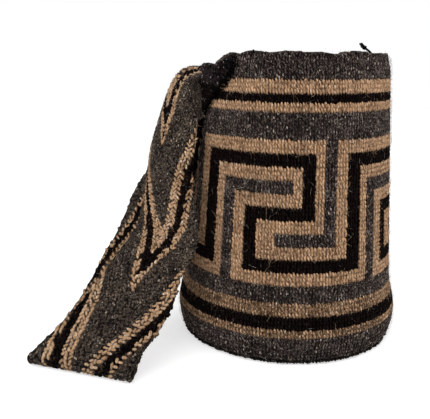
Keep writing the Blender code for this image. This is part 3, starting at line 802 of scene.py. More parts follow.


# Each wool: its shades from the darkest fibres to the palest, with their places on the ramp, the colour and the
# share of its single flecks (stray fibres, and painted glints on the sewing yarn), the width of a shade in mm,
# and the light that the painted shade leaves in the gaps.
WOOLS = {
    # Light brown fleece, spun by hand: honey shades with a few pale and reddish fibres.
    "tan_handspun_wool": dict(
        shades=((0.48, "tan", 0.30, "#5A3A2C", 0.5), (0.58, "tan", 0.66), (0.68, "tan"),
                (0.80, "tan", 1.5, "#E2C6A8", 0.25)),
        stray_and_glint="#D8BEA2", strays_and_glints=0.12, width=1.5, gap_light=0.5),
    # The stripes near the base are of another batch: the light fleece carded with dark brown.
    "umber_handspun_wool": dict(
        shades=((0.48, "brown", 0.5), (0.58, "tan", 0.30, "#5A3A20", 0.4), (0.68, "tan", 0.62),
                (0.80, "tan", 1.25, "#E2C6A8", 0.25)),
        stray_and_glint="#D8BEA2", strays_and_glints=0.12, width=1.3, gap_light=0.4),
    # Dark brown fleece carded with grey: near-black yarn, flecked with pale fibres.
    "brown_heather_wool": dict(
        shades=((0.46, "brown", 0.12), (0.60, "brown", 0.48), (0.70, "brown", 1.6), (0.82, "#8C7F78")),
        stray_and_glint="#A89A90", strays_and_glints=0.11, width=1.1, gap_light=0.22),
    # Black fleece, spun by hand: hardly any variation, a few brown glints.
    "black_handspun_wool": dict(
        shades=((0.45, "black", 0.7), (0.66, "black", 1.3), (0.85, "#1D1819")),
        stray_and_glint="#4A403C", strays_and_glints=0.04, width=1.0, gap_light=0.15, gloss=0.02, sheen=0.0),
    # The strap's light yarn is plied tighter, so its turns show as pale ovals; the gaps between them get strong
    # painted shade.
    "tan_plied_wool": dict(
        shades=((0.46, "#5E4228"), (0.57, "tan", 0.80, "#A87B45", 0.3), (0.68, "tan", 1.0, "#A39482", 0.25),
                (0.80, "tan", 1.5, "#DACBB6", 0.4)),
        stray_and_glint="#D8CAB8", strays_and_glints=0.12, width=0.9, gap_light=0.08),
    # The strap's ground is plied tighter than the wall's yarn, with grey and tan hairs carded in.
    "brown_plied_wool": dict(
        shades=((0.46, "brown", 0.10), (0.60, "brown", 0.60), (0.70, "#463C34"), (0.84, "#857566")),
        stray_and_glint="#A09080", strays_and_glints=0.09, width=0.9, gap_light=0.12),
    # The strap's black yarn: as the wall's, with more painted shade in the gaps between its turns.
    "black_plied_wool": dict(
        shades=((0.45, "black", 0.6), (0.66, "black", 1.1), (0.85, "#191516")),
        stray_and_glint="#4A403C", strays_and_glints=0.04, width=0.9, gap_light=0.12, gloss=0.02, sheen=0.0),
    # Black sewing yarn, a little glossier than the other blacks; its paler shades and its pale flecks are
    # painted sheen and glints on its turns.
    "black_sewing_yarn": dict(
        shades=((0.45, "black", 0.8), (0.66, "black", 2.2), (0.85, "#3A3437")),
        stray_and_glint="#827B7E", strays_and_glints=0.19, width=0.9, gap_light=0.03, gloss=0.05, sheen=0.0),
}
HAIRS = {
    # Coarse hairs of a grey fleece: single pale threads that catch the light on the dark yarns.
    "pale_wool_hair": ("#8F8478", "#CFC4B6"),
    # Hairs of the dark fleeces: they break up the edges of the light yarns.
    "dark_wool_hair": ("#120E0E", "#3A2F2A"),
    # Hairs of the light brown fleece: a warm fringe on the light yarns.
    "honey_wool_hair": ("#A97F50", "#E0C29B"),
}
WALL_WOOLS = ("tan_handspun_wool", "black_handspun_wool", "brown_heather_wool", "umber_handspun_wool")
STRAP_WOOLS = ("tan_plied_wool", "black_plied_wool", "brown_plied_wool")


def find_material(name, wool):
    """One of the bag's wools or hairs, made when it is first asked for."""
    known = bpy.data.materials.get(name)
    if known:
        return known
    if name in HAIRS:
        return hair_material(name, *HAIRS[name])
    return wool_material(name, wool, **WOOLS[name])


def find_wools(names, scene):
    """Several wools in the order of the yarn numbers."""
    return [find_material(name, scene.mochila_wool) for name in names]


def settle(piece):
    """Say what a piece rides on."""
    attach(piece, "root")
    return piece


# ---- operators ----

# One crochet stitch as its front leg shows, the same with fewer faces, and one turn of a plied yarn.
PRONG = lobe_shape([
    (-0.16, 0.34, -0.20, -0.60), (0.10, 0.44, 0.45, -0.60), (0.36, 0.50, 0.92, -0.60),
    (0.62, 0.42, 1.00, -0.45), (0.86, 0.13, 0.62, -0.10),
])
FLAT_PRONG = lobe_shape([(-0.10, 0.36, -0.2, -0.6), (0.35, 0.50, 1.0, -0.6), (0.86, 0.20, 0.4, -0.3)])
LOBE = lobe_shape([(-0.56, 0.18, 0.10, -0.60), (-0.25, 0.46, 0.90, -0.60), (0.25, 0.46, 0.90, -0.60),
                   (0.56, 0.18, 0.10, -0.60)])


class MOCHILA_OT_wall(bpy.types.Operator):
    """Make the smooth ground of the wall and base, under the stitches and inside the bag."""

    bl_idname = "mochila.wall"
    bl_label = "Wall ground"

    SUNK = 2.0 * MM
    BASE_LEVEL = 1.3 * MM
    BASE_ROWS = 6
    FLOOR_ROWS = 8
    EDGE_TURNS = (60.0, 95.0, 130.0, 165.0)
    BACK_BUMP = 0.45 * MM
    FLOOR_RIPPLE = 0.3 * MM
    # Crests for painted shade: the ground under the stitches is darkened almost as far as the gaps, the inside
    # of the bag a little.
    GAP_CREST = 0.05
    INSIDE_CREST = 0.7

    def execute(self, context):
        chart = stitch_chart()
        around = 2 * STITCHES_ROUND
        azimuth = FRET_START + np.arange(around) * 180.0 / STITCHES_ROUND
        # The rows run from the middle of the base up the outside, over the edge and down to the floor of
        # the bag. Each has its course, or None on the base and the floor.
        rows, courses = [], []
        for radius in np.linspace(0.0, BASE_FLAT_RADIUS, self.BASE_ROWS):
            rows.append(round_point(azimuth, radius, self.BASE_LEVEL))
            courses.append(None)
        for course in range(COURSES + 1):
            height = min(course * COURSE, BAG_HEIGHT - 1.2 * MM) + (self.BASE_LEVEL if course == 0 else 0.0)
            rows.append(wall_frame(azimuth, np.full(around, height), -self.SUNK)[0])
            courses.append(course)
        outside = len(rows)
        rim_radius, rim_height = rim_middle(azimuth)
        reach = 0.5 * WALL_THICKNESS
        for turn in np.radians(self.EDGE_TURNS):
            rows.append(round_point(azimuth, rim_radius + reach * math.cos(turn),
                                    rim_height + reach * math.sin(turn)))
            courses.append(COURSES - 1)
        # The inside shows the backs of the stitches: one soft bump for each, over the colours of the front.
        for step in range(2 * COURSES - 2, 0, -1):
            height = (step + 0.5) * 0.5 * COURSE
            if height < WALL_THICKNESS:
                break
            turn = np.arange(around) * math.pi + 0.5 * math.pi * (step // 2 % 2)
            bump = np.cos(turn) + (0.8 if step % 2 else -0.8)
            level = -WALL_THICKNESS + 0.2 * MM - self.BACK_BUMP * bump
            rows.append(wall_frame(azimuth, np.full(around, height), level)[0])
            courses.append(step // 2)
        for radius in np.linspace(BASE_FLAT_RADIUS, 0.0, self.FLOOR_ROWS):
            ripple = self.FLOOR_RIPPLE * np.cos(azimuth * 0.5 * radius * 1000.0 / 3.0)
            rows.append(round_point(azimuth, radius, WALL_THICKNESS + ripple))
            courses.append(None)
        quads = grid_quads(len(rows), around, closed=True)
        numbers = np.full((len(rows) - 1, around), YARNS.index("brown"))
        stitch = np.arange(around) // 2
        for row in range(len(rows) - 1):
            course = courses[row + 1] if courses[row] is None else courses[row]
            if course is not None:
                numbers[row] = chart[min(course, COURSES - 1), stitch]
        crest = np.where(np.arange(len(rows)) < outside, self.GAP_CREST, self.INSIDE_CREST)
        wall = add_mesh("wall_ground", np.concatenate(rows), quads, find_wools(WALL_WOOLS, context.scene),
                        numbers.ravel(), np.repeat(crest, around))
        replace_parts(settle(wall), "bag_body")
        return {"FINISHED"}


class MOCHILA_OT_stitches(bpy.types.Operator):
    """Work every crocheted stitch of the wall, the base and the mouth's edge."""

    bl_idname = "mochila.stitches"
    bl_label = "Crochet stitches"

    # In shares of a stitch: how far it strays sideways, where its foot stands, and how far that strays.
    SIDE_JITTER = 0.07
    FOOT = 0.10
    FOOT_JITTER = 0.05
    LEAN_JITTER = math.radians(5.0)
    TIP_LEVEL = 0.25 * MM
    USUAL_PITCH = 3.0 * MM
    BASE_LEVEL = 1.35 * MM

    def execute(self, context):
        sizes = context.scene.mochila_crochet
        chart = stitch_chart()
        materials = find_wools(WALL_WOOLS, context.scene)
        rng = np.random.default_rng(3)
        course, stitch = np.meshgrid(np.arange(COURSES), np.arange(STITCHES_ROUND), indexing="ij")
        course, stitch = course.ravel(), stitch.ravel()
        sideways = rng.normal(0.0, self.SIDE_JITTER, len(stitch))
        azimuth = FRET_START + (stitch + 0.5 + sideways) * 360.0 / STITCHES_ROUND
        height = (course + self.FOOT + rng.normal(0.0, self.FOOT_JITTER, len(course))) * COURSE
        root = self.TIP_LEVEL - sizes.relief
        place, right, up, out = wall_frame(azimuth, height, root)
        above = wall_frame(azimuth, np.minimum(height + COURSE, BAG_HEIGHT), root)[0]
        stretch = np.clip(np.linalg.norm(above - place, axis=1) / COURSE, 0.45, 1.8)
        pitch = 2.0 * math.pi * np.hypot(place[:, 0], place[:, 1]) / STITCHES_ROUND
        lean = sizes.lean + rng.normal(0.0, self.LEAN_JITTER, len(stitch))
        right, up = turned(right, up, lean)
        size = np.stack([sizes.prong_width * pitch / self.USUAL_PITCH, sizes.prong_height * stretch,
                         np.full(len(stitch), sizes.relief)], axis=1)
        last = course == COURSES - 1
        size[last, 1] *= 0.5
        for number, yarn in enumerate(WALL_YARNS):
            mine = chart[course, stitch] == number
            self.piece(f"{yarn}_stitches", materials[number], scatter_some(
                mine, PRONG, place, right, up, out, size, sizes.unevenness, 20 + number))
        brown = materials[YARNS.index("brown")]
        self.base(sizes, brown)
        self.edge(brown)
        return {"FINISHED"}

    def piece(self, name, wool, stitches):
        """One piece of stitches in one wool."""
        points, quads, crest = stitches
        settle(add_mesh(name, points, quads, [wool], crest=crest))

    def base(self, sizes, wool):
        """The base is worked in a spiral from its middle, so its stitches stand along the radius."""
        rng = np.random.default_rng(5)
        places, rights, ups = [], [], []
        for ring in range(1, int(BASE_FLAT_RADIUS / COURSE) + 1):
            count = max(6, int(round(2.0 * math.pi * ring * COURSE / sizes.prong_width)))
            azimuth = np.arange(count) * 360.0 / count + rng.uniform(0.0, 9.0)
            radius = (ring - 0.6) * COURSE + COURSE * np.arange(count) / count
            places.append(round_point(azimuth, radius, self.BASE_LEVEL))
            ups.append(round_point(azimuth, 1.0, 0.0))
            rights.append(round_point(azimuth - 90.0, 1.0, 0.0))
        place, right, up = np.concatenate(places), np.concatenate(rights), np.concatenate(ups)
        right, up = turned(right, up, np.full(len(place), sizes.lean))
        out = np.tile((0.0, 0.0, -1.0), (len(place), 1))
        size = (sizes.prong_width, 5.2 * MM, 1.2 * MM)
        self.piece("base_stitches", wool, scatter(FLAT_PRONG, place, right, up, out, size, 0.06, 6))

    def edge(self, wool):
        """The mouth's edge is a last round of loops that lie over the wall's top."""
        rng = np.random.default_rng(8)
        count = STITCHES_ROUND
        azimuth = (np.arange(count) + rng.normal(0.0, 0.25, count)) * 360.0 / count
        radius, height = rim_middle(azimuth)
        out = round_point(azimuth, 0.0, 1.0)
        right = round_point(azimuth + 90.0, 1.0, 0.0)
        up = round_point(azimuth, -1.0, 0.0)
        right, up = turned(right, up, 0.55 + rng.normal(0.0, 0.15, count))
        lift = 0.5 * WALL_THICKNESS - 2.0 * MM + np.abs(rng.normal(0.0, 0.7, count)) * MM
        place = round_point(azimuth, radius, height + lift)
        size = (4.2 * MM, 5.2 * MM, 1.6 * MM)
        self.piece("mouth_edge_loops", wool, scatter(LOBE, place, right, up, out, size, 0.2, 9))


class MOCHILA_OT_strap(bpy.types.Operator):
    """Plait the shoulder strap along its route."""

    bl_idname = "mochila.strap"
    bl_label = "Shoulder strap"

    def execute(self, context):
        sizes = context.scene.mochila_strap
        materials = find_wools(STRAP_WOOLS, context.scene)
        strap = StrapSurface()
        ground = self.ground(strap, materials)
        lobes = self.lobes(strap, sizes, materials)
        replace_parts(settle(ground), "shoulder_strap")
        return {"FINISHED"}

    def ground(self, strap, materials):
        """The strap's inner layers: a thin closed sheet with rounded sides, in the chevrons' colours."""
        count = 1 + int(strap.length / (3.0 * MM))
        along = np.linspace(0.0, strap.along[-1], count)
        columns = 16
        ring_across = np.concatenate([np.linspace(-1.0, 1.0, columns), np.linspace(1.0, -1.0, columns)])
        ring_level = np.concatenate([np.ones(columns), -np.ones(columns)]) * 1.25 * MM
        a, c = np.meshgrid(along, ring_across, indexing="ij")
        inset = np.where(np.abs(c) > 0.99, 0.985, 1.0)
        level = ring_level[None, :, None]
        spot = strap.ask(strap.grid, a, c * inset) + strap.ask(strap.out, a, c * inset) * level
        rows = [np.repeat(spot[:1].mean(axis=1, keepdims=True), 2 * columns, axis=1)[0], *spot,
                np.repeat(spot[-1:].mean(axis=1, keepdims=True), 2 * columns, axis=1)[0]]
        points = np.concatenate(rows)
        quads = grid_quads(len(rows), 2 * columns, closed=True)
        row = np.clip(np.repeat(np.arange(len(rows) - 1), 2 * columns) - 1, 0, count - 1)
        column = np.tile(np.arange(2 * columns), len(rows) - 1)
        numbers = strap.yarn(along[row], ring_across[column])
        # The whole sheet gets a crest of 0.1, so it is darkened almost as far as the gaps: painted shade
        # between the lobes.
        return add_mesh("strap_ground", points, quads, materials, numbers, np.full(len(points), 0.1))

    def lobes(self, strap, sizes, materials):
        """The strands run with the chevrons, and each shows as a row of slanted lobes on both faces."""
        run = math.hypot(1.0, CHEVRON_SLOPE)
        step = sizes.strand * run
        strands = int(round(CHEVRON_REPEAT / step))
        step = CHEVRON_REPEAT / strands
        dx = sizes.lobe / run
        widest = 0.5 * STRAP_FLAT_WIDTH
        total = strap.along[-1]
        first = math.floor((strap.fold - total - CHEVRON_TIP) / step - CHEVRON_SLOPE * widest / step) - 1
        last = math.ceil((strap.fold - CHEVRON_TIP) / step) + 1
        strand, spot = np.meshgrid(np.arange(first, last), np.arange(int(widest / dx) + 1), indexing="ij")
        strand, spot = strand.ravel(), spot.ravel()
        shift = 0.5 * (strand % 2)
        across = (spot + 0.35 + shift) * dx
        phase = (strand + 0.5) * step
        upward = CHEVRON_SLOPE * across + phase
        upward = np.where(upward < 0.0, upward * CHEVRON_FOLD_DRAW, upward)
        along = strap.fold - CHEVRON_TIP - upward
        keep = (along > 0.5 * MM) & (along < total - 0.5 * MM) & (across < widest - 1.2 * MM)
        strand, across, along = strand[keep], across[keep], along[keep]
        # Where the strap is gathered, the strands lie closer side by side.
        gather = np.interp(along, strap.along, strap.half_width) / widest
        rng = np.random.default_rng(14)
        pieces = []
        parts = {number: [] for number in range(len(YARNS))}
        for face in (1.0, -1.0):
            for side in (1.0, -1.0):
                share = side * across / widest
                share = np.clip(share + rng.normal(0.0, 0.010, len(share)), -0.985, 0.985)
                spots_along = along + rng.normal(0.0, 0.45 * MM, len(along))
                place, out, down = strap.spot(spots_along, share)
                out = out * face
                over = unit(np.cross(down, out)) * face
                # Along a strand from the middle outwards: away from the fold as it goes across.
                strand_way = unit(over * side * -face * gather[:, None] - down * CHEVRON_SLOPE)
                right = unit(np.cross(strand_way, out))
                slant = sizes.slant * np.where(strand % 2 == 0, 1.0, -1.0) + rng.normal(0.0, 0.22, len(strand))
                right, up = turned(right, strand_way, slant)
                place = place + out * (0.5 * STRAP_THICKNESS - 0.80 * sizes.relief)
                size = np.stack([sizes.strand * (0.62 + 0.5 * gather), np.full(len(along), sizes.lobe * 1.42),
                                 np.full(len(along), sizes.relief)], axis=1)
                numbers = strap.yarn(along + rng.normal(0.0, 0.9 * MM, len(along)), share)
                for number in parts:
                    seed = int(30 + number + 3 * side + 9 * face)
                    parts[number].append(scatter_some(
                        numbers == number, LOBE, place, right, up, out, size, 0.24, seed))
        self.selvedges(strap, parts)
        for number, yarn in enumerate(YARNS):
            points, quads, crest = join_parts(parts[number])
            piece = add_mesh(f"strap_{yarn}_lobes", points, quads, [materials[number]], crest=crest)
            pieces.append(settle(piece))
        return pieces

    def selvedges(self, strap, parts):
        """The strands turn round the strap's sides, which makes a cord-like edge."""
        rng = np.random.default_rng(17)
        along = np.arange(1.0 * MM, strap.along[-1], 3.0 * MM)
        for side in (-1.0, 1.0):
            share = np.full(len(along), side)
            edge, _, down = strap.spot(along, share)
            out = unit(edge - strap.ask(strap.grid, along, share * 0.9))
            right = unit(np.cross(down, out))
            right, up = turned(right, down, 0.5 + rng.normal(0.0, 0.1, len(along)))
            place = edge - out * 1.3 * MM
            size = np.tile((4.0 * MM, 5.4 * MM, 1.25 * MM), (len(along), 1))
            numbers = strap.yarn(along, share)
            for number in parts:
                parts[number].append(scatter_some(
                    numbers == number, LOBE, place, right, up, out, size, 0.18, int(60 + number + side)))


def join_parts(parts):
    """Several scattered sets as one."""
    points, quads, crests, start = [], [], [], 0
    for some_points, some_quads, crest in parts:
        points.append(some_points)
        quads.append(some_quads + start)
        crests.append(crest)
        start += len(some_points)
    return np.concatenate(points), np.concatenate(quads), np.concatenate(crests)


class MOCHILA_OT_seams(bpy.types.Operator):
    """Sew both ends of the strap on with black yarn."""

    bl_idname = "mochila.seams"
    bl_label = "Strap seams"

    # The whipped yarn: its radius, its pitch, and how far it reaches onto the strap and onto the wall.
    YARN = 1.15 * MM
    PITCH = 3.1 * MM
    WITHIN = 5.0 * MM
    BEYOND = 4.6 * MM
    DARNING_LOOPS = 330
    CROSSING_LOOPS = 140
    GATHER_LOOPS = 460
    LINE_LOOPS = 160
    KNOT_LOOPS = 26

    def execute(self, context):
        wool = find_material("black_sewing_yarn", context.scene.mochila_wool)
        near = add_yarn("near_seam_yarn", self.whip(NEAR_END, 41), self.YARN, wool)
        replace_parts(settle(near), "near_strap_seam")
        tail = [in_air(*spot) for spot in YARN_TAIL]
        far = add_yarn("far_seam_yarn", self.whip(far_corners(), 43) + tail, self.YARN, wool)
        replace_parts(settle(far), "far_strap_seam")
        self.darning(wool)
        return {"FINISHED"}

    def whip(self, corners, seed):
        """Overcast stitches along the edge of the strap, which is on the right of the corners' run."""
        rng = np.random.default_rng(seed)
        per_degree = math.radians(RIM_RADIUS)
        flat = []
        for azimuth, share in corners:
            raw = share * BAG_HEIGHT
            flat.append(np.array((azimuth * per_degree, raw - mouth_dip(azimuth) * pull_share(raw))))
        wall_level = 0.9 * MM
        band_level = SEAT + 0.5 * STRAP_THICKNESS + 0.8 * MM
        path = []
        for start, end in zip(flat, flat[1:]):
            length = np.linalg.norm(end - start)
            along = (end - start) / length
            outward = np.array((-along[1], along[0]))
            passes = 2 * max(1, int(length / (2.0 * self.PITCH)))
            for number in range(passes):
                spot = start + along * length * (number + 0.5) / passes
                jitter = rng.normal(0.0, 0.5, 3) * MM
                one = [(spot - outward * (self.WITHIN + jitter[0]), band_level),
                       (spot + outward * 0.6 * MM + along * jitter[1], band_level + 0.3 * MM),
                       (spot + outward * self.BEYOND + along * jitter[2], wall_level)]
                path.extend(one if number % 2 else one[::-1])
        return [self.by_wall(spot[0] / per_degree, spot[1], level) for spot, level in path]

    def by_wall(self, azimuth, height, level):
        """A point at a height, at a distance from the wall."""
        before = unpulled(azimuth, height)
        reach = wall_radius(before) + level * lean_of_wall(azimuth, before)
        return round_point(azimuth, float(reach), height)

    def darning(self, wool):
        """The near end is covered by loops of black yarn, sewn over each other."""
        rng = np.random.default_rng(47)
        corners = np.array([NEAR_END[0], NEAR_END[1], NEAR_END[2], (209.5, 0.905)])
        count = self.DARNING_LOOPS
        u, v = rng.uniform(0.0, 1.04, count), rng.uniform(-0.12, 0.86, count)
        top = corners[0] * (1 - u)[:, None] + corners[1] * u[:, None]
        low = corners[3] * (1 - u)[:, None] + corners[2] * u[:, None]
        spot = top * (1 - v)[:, None] + low * v[:, None]
        azimuth, raw = spot[:, 0], spot[:, 1] * BAG_HEIGHT
        place, right, up, out = wall_frame(azimuth, np.minimum(raw, BAG_HEIGHT - 1.0 * MM), 0.0)
        level = (SEAT + 0.5 * STRAP_THICKNESS + 0.1 * MM) * np.where(v < 0.0, 0.55, 1.0)
        place = place + out * (level + rng.uniform(-0.3, 1.3, count) * MM)[:, None]
        right, up = turned(right, up, rng.normal(0.5, 1.0, count))
        size = yarn_sizes(rng, count, (2.2, 3.2), (5.0, 8.5), (1.0, 1.7))
        strap = StrapSurface()
        parts = [scatter(LOBE, place, right, up, out, size, 0.1, 48), self.crossing(strap, rng), self.knot(rng)]
        brown = find_material("brown_plied_wool", bpy.context.scene.mochila_wool)
        loops, line = self.gather(strap, rng)
        parts.append(line)
        settle(add_mesh("strap_side_loops", loops[0], loops[1], [brown], crest=loops[2]))
        points, quads, crest = join_parts(parts)
        settle(add_mesh("near_seam_loops", points, quads, [wool], crest=crest))

    def crossing(self, strap, rng):
        """Black loops that hold the strap's side down where it comes over the mouth's edge."""
        count = self.CROSSING_LOOPS
        # From 14 mm before the highest place of the strap to 10 mm after it.
        along = self.highest(strap) + rng.uniform(-14.0, 10.0, count) * MM
        share = 1.0 - 0.64 * rng.uniform(0.0, 1.0, count) ** 1.3
        place, out, down = strap.spot(along, share)
        out = facing(out, (0.0, -0.3, 1.0))
        right, up = turned(unit(np.cross(down, out)), down, rng.uniform(-1.2, 1.2, count))
        place = place + out * (0.5 * STRAP_THICKNESS + rng.uniform(-0.4, 0.5, count) * MM)[:, None]
        size = yarn_sizes(rng, count, (2.4, 3.4), (5.0, 8.0), (1.0, 1.9))
        return scatter(LOBE, place, right, up, out, size, 0.1, 49)

    def highest(self, strap):
        """Length along the strap where it comes over the mouth's edge."""
        level = strap.grid[..., 2].mean(axis=1)
        over_mouth = (strap.along > 0.15) & (strap.along < strap.fold)
        return strap.along[int(np.argmax(np.where(over_mouth, level, 0.0)))]

    def gather(self, strap, rng):
        """Brown loops draw the falling strap's right side to its sewn end, with a black line of loops along it
        that is painted shadow of the gap between the strap and the bag.
        """
        count = self.GATHER_LOOPS + self.LINE_LOOPS
        share = rng.uniform(0.0, 1.0, count)
        tie = rng.uniform(0.0, 1.0, count)
        # The last loops make the black line: painted shadow along the gap next to the bag.
        line = np.arange(count) >= self.GATHER_LOOPS
        tie = np.where(line, 1.0 + rng.uniform(-0.10, 0.06, count), tie)
        edge_along = self.highest(strap) + (14.0 + 54.0 * share) * MM
        edge, _, down = strap.spot(edge_along, np.full(count, 0.95))
        sewn = strap.ask(strap.grid, strap.along[-1] - (7.0 + 48.0 * share) * MM,
                         np.clip(-1.0 + 2.35 * (share - 0.15), -0.98, 0.98))
        out = facing(unit(np.cross(down, unit(sewn - edge))), (0.3, -1.0, 0.2))
        place = edge * (1.0 - tie)[:, None] + sewn * tie[:, None]
        # The middle sags in towards the bag a little.
        sag = (1.2 - 2.4 * np.sin(math.pi * np.clip(tie, 0.0, 1.0)) + rng.uniform(-0.5, 0.5, count)) * MM
        place = place + out * sag[:, None]
        right, up = turned(unit(np.cross(down, out)), down, rng.normal(0.0, 0.45, count))
        size = yarn_sizes(rng, count, (2.6, 3.6), (4.0, 6.5), (1.0, 1.7))
        return [scatter_some(mine, LOBE, place, right, up, out, size, 0.1, seed)
                for mine, seed in ((~line, 51), (line, 52))]

    def knot(self, rng):
        """The blunt knotted end of the loose yarn."""
        end = np.array([in_air(*YARN_TAIL[-2]), in_air(*YARN_TAIL[-1])])
        count = self.KNOT_LOOPS
        place = end[0] + (end[1] - end[0]) * rng.uniform(0.25, 0.95, (count, 1))
        out = unit(rng.normal(0.0, 1.0, (count, 3)))
        right = unit(np.cross(out, unit(end[1] - end[0] + rng.normal(0.0, 1.0 * MM, (count, 3)))))
        size = (2.5 * MM, 4.4 * MM, 1.5 * MM)
        return scatter(LOBE, place, right, unit(np.cross(out, right)), out, size, 0.2, 50)


class MOCHILA_OT_hair(bpy.types.Operator):
    """Lay the loose hairs of the wool on the bag and the strap."""

    bl_idname = "mochila.hair"
    bl_label = "Loose wool hair"

    # For each yarn: up to which share its hairs are pale, up to which dark, and the kind of the rest.
    ON_YARNS = ((0.18, 0.42, 2), (0.05, 0.30, 3), (0.42, 0.96, 2), (0.18, 0.42, 2))
    # The strap is hairier than the wall, with shorter hairs.
    STRAP_DENSITY = 1.8
    STRAP_LENGTH = 0.7
    MEAN_RADIUS = 0.102

    def execute(self, context):
        sizes = context.scene.mochila_hair
        wool = context.scene.mochila_wool
        rng = np.random.default_rng(sizes.seed)
        chart = stitch_chart()
        area = 2.0 * math.pi * self.MEAN_RADIUS * BAG_HEIGHT
        count = int(area * 1e4 * sizes.per_square_cm)
        azimuth = rng.uniform(0.0, 360.0, count)
        height = rng.uniform(0.001, BAG_HEIGHT - 0.002, count)
        place, right, up, out = wall_frame(azimuth, height, 0.9 * MM)
        stitch = ((azimuth - FRET_START) / 360.0 * STITCHES_ROUND).astype(int) % STITCHES_ROUND
        number = chart[np.minimum((height / COURSE).astype(int), COURSES - 1), stitch]
        angle = rng.uniform(-1.35, 1.35, count) + np.where(rng.random(count) < 0.5, 0.0, math.pi)
        way = turned(right, up, angle)[1]
        self.lay("bag", "crocheted_wool", self.kinds(number, rng), (place, way, out),
                 sizes.length, sizes.width, 0.6 * MM, 70, wool)
        self.strap(sizes, wool, rng)
        return {"FINISHED"}

    def lay(self, part, slot, kinds, spots, length, width, rise, seed, wool):
        """One piece for each kind of hair, from the hairs' places, ways and ways out."""
        for kind, name in enumerate(HAIRS):
            mine = [table[kinds == kind] for table in spots]
            points, quads = hair_strips(*mine, length, width, rise, seed + kind)
            settle(add_mesh(f"{part}_{name}", points, quads, [find_material(name, wool)]))

    def kinds(self, number, rng):
        """Which hair lies on a yarn: pale, dark or honey, or none on most of the black."""
        pale, dark, rest = np.array(self.ON_YARNS)[number].T
        draw = rng.random(len(number))
        return np.where(draw < pale, 0, np.where(draw < dark, 1, rest))

    def strap(self, sizes, wool, rng):
        """Hairs on both faces of the strap."""
        strap = StrapSurface()
        count = int(2.0 * strap.area * 1e4 * self.STRAP_DENSITY * sizes.per_square_cm)
        along = rng.uniform(0.0, strap.along[-1], count)
        share = rng.uniform(-1.0, 1.0, count)
        face = np.where(rng.random(count) < 0.5, 1.0, -1.0)[:, None]
        place, out, down = strap.spot(along, share)
        out = out * face
        way = turned(unit(np.cross(down, out)), down, rng.uniform(-math.pi, math.pi, count))[1]
        place = place + out * 0.5 * STRAP_THICKNESS
        self.lay("strap", "woven_wool", self.kinds(strap.yarn(along, share), rng), (place, way, out),
                 self.STRAP_LENGTH * sizes.length, sizes.width, 0.5 * MM, 80, wool)


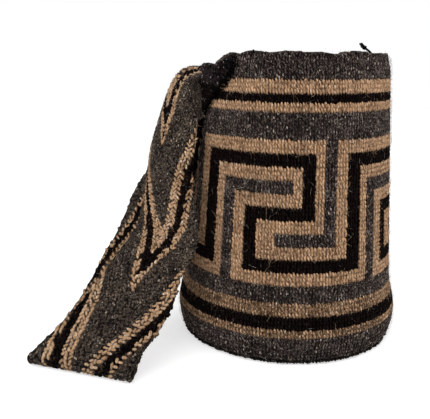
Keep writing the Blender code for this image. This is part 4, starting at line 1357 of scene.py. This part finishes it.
class MOCHILA_OT_stage(bpy.types.Operator):
    """Set up the floor, the soft light and the camera."""

    bl_idname = "mochila.stage"
    bl_label = "Floor, light and camera"

    def execute(self, context):
        scene = context.scene
        scene.view_settings.view_transform = "Standard"
        self.floor()
        self.world(scene)
        # A wide soft box in front and above, and a weaker one at the right.
        self.lamp("soft_box_front", (-0.55, -1.7, 1.9), (0.0, 0.0, 0.12), 1.7, 34.0)
        self.lamp("soft_box_right", (1.7, -0.6, 1.2), (0.0, 0.0, 0.14), 1.2, 9.0)
        self.camera(scene)
        return {"FINISHED"}

    def floor(self):
        """A pale matt floor that keeps the bag's shadow and is white to the eye."""
        side = 3.0
        points = np.array([(-side, -side, 0.0), (side, -side, 0.0), (side, side, 0.0), (-side, side, 0.0)])
        # Matt white paper: no gloss at all, so that only the bag's soft shadow shows on it.
        material, tree, shader = new_material("white_paper_floor")
        shader.inputs["Base Color"].default_value = (0.80, 0.80, 0.80, 1.0)
        shader.inputs["Roughness"].default_value = 0.9
        glow = add_node(tree, "ShaderNodeMath", {"operation": "MULTIPLY"}, {1: 0.56}, {0: self.seen(tree)})
        light = add_node(tree, "ShaderNodeEmission", links={"Strength": glow.outputs[0]})
        both = add_node(tree, "ShaderNodeAddShader", links={0: shader.outputs[0], 1: light.outputs[0]})
        tree.links.new(both.outputs[0], tree.nodes["Material Output"].inputs["Surface"])
        add_mesh("floor", points, np.array([(0, 1, 2, 3)]), [material])

    def seen(self, tree):
        """1 for what the camera sees, itself or by way of gloss or glass, and 0 for light on the bag."""
        rays = add_node(tree, "ShaderNodeLightPath")
        eye = add_node(tree, "ShaderNodeMath", {"operation": "ADD", "use_clamp": True}, links={
            0: rays.outputs["Is Camera Ray"], 1: rays.outputs["Is Glossy Ray"]})
        return add_node(tree, "ShaderNodeMath", {"operation": "ADD", "use_clamp": True}, links={
            0: eye.outputs[0], 1: rays.outputs["Is Transmission Ray"]}).outputs[0]

    def world(self, scene):
        """White to the eye, and a weaker even light on the bag."""
        world = bpy.data.worlds.new("white_room")
        scene.world = world
        world.use_nodes = True
        tree = world.node_tree
        back = tree.nodes["Background"]
        back.inputs["Color"].default_value = (1.0, 1.0, 1.0, 1.0)
        strength = add_node(tree, "ShaderNodeMath", {"operation": "MULTIPLY_ADD"}, {1: 0.45, 2: 0.55},
                            {0: self.seen(tree)})
        tree.links.new(strength.outputs[0], back.inputs["Strength"])

    def lamp(self, name, place, target, size, power):
        """A square soft box that faces a point."""
        data = bpy.data.lights.new(name, "AREA")
        data.size = size
        data.energy = power
        lamp = bpy.data.objects.new(name, data)
        lamp.location = place
        way = Vector(target) - Vector(place)
        lamp.rotation_euler = way.to_track_quat("-Z", "Y").to_euler()
        bpy.context.scene.collection.objects.link(lamp)

    def camera(self, scene):
        """The camera stands where the photograph was taken from."""
        yaw, pitch, roll = (math.radians(a) for a in (CAMERA_YAW, CAMERA_PITCH, CAMERA_ROLL))
        level = Vector((-math.sin(yaw), math.cos(yaw), 0.0))
        right = Vector((math.cos(yaw), math.sin(yaw), 0.0))
        forward = level * math.cos(pitch) - Vector((0.0, 0.0, 1.0)) * math.sin(pitch)
        up = Vector((0.0, 0.0, 1.0)) * math.cos(pitch) + level * math.sin(pitch)
        across = right * math.cos(roll) + up * math.sin(roll)
        upward = up * math.cos(roll) - right * math.sin(roll)
        data = bpy.data.cameras.new("camera")
        data.lens = CAMERA_LENS
        data.sensor_width = 36.0
        data.clip_start = 0.01
        camera = bpy.data.objects.new("camera", data)
        ways = Matrix((across, upward, -forward)).transposed().to_4x4()
        camera.matrix_world = Matrix.Translation(CAMERA_PLACE) @ ways
        scene.collection.objects.link(camera)
        scene.camera = camera


class MOCHILA_PT_panel(bpy.types.Panel):
    """The steps and sizes of the bag."""

    bl_idname = "MOCHILA_PT_panel"
    bl_label = "Mochila"
    bl_space_type = "VIEW_3D"
    bl_region_type = "UI"
    bl_category = "Mochila"

    def draw(self, context):
        layout = self.layout
        for operator in OPERATORS:
            layout.operator(operator.bl_idname)
        for name in SETTINGS:
            box = layout.box()
            group = getattr(context.scene, name)
            for field in type(group).__annotations__:
                box.prop(group, field)


OPERATORS = (MOCHILA_OT_wall, MOCHILA_OT_stitches, MOCHILA_OT_strap, MOCHILA_OT_seams, MOCHILA_OT_hair,
             MOCHILA_OT_stage)


def register():
    """Add the settings, the steps and the panel."""
    for name, group in SETTINGS.items():
        bpy.utils.register_class(group)
        setattr(bpy.types.Scene, name, PointerProperty(type=group))
    for operator in OPERATORS:
        bpy.utils.register_class(operator)
    bpy.utils.register_class(MOCHILA_PT_panel)


def unregister():
    """Take them away again."""
    bpy.utils.unregister_class(MOCHILA_PT_panel)
    for operator in reversed(OPERATORS):
        bpy.utils.unregister_class(operator)
    for name, group in SETTINGS.items():
        delattr(bpy.types.Scene, name)
        bpy.utils.unregister_class(group)


def main():
    """Make the whole bag."""
    register()
    bpy.ops.mochila.wall()
    bpy.ops.mochila.stitches()
    bpy.ops.mochila.strap()
    bpy.ops.mochila.seams()
    bpy.ops.mochila.hair()
    bpy.ops.mochila.stage()
    bpy.context.view_layer.update()


if __name__ == "__main__":
    main()
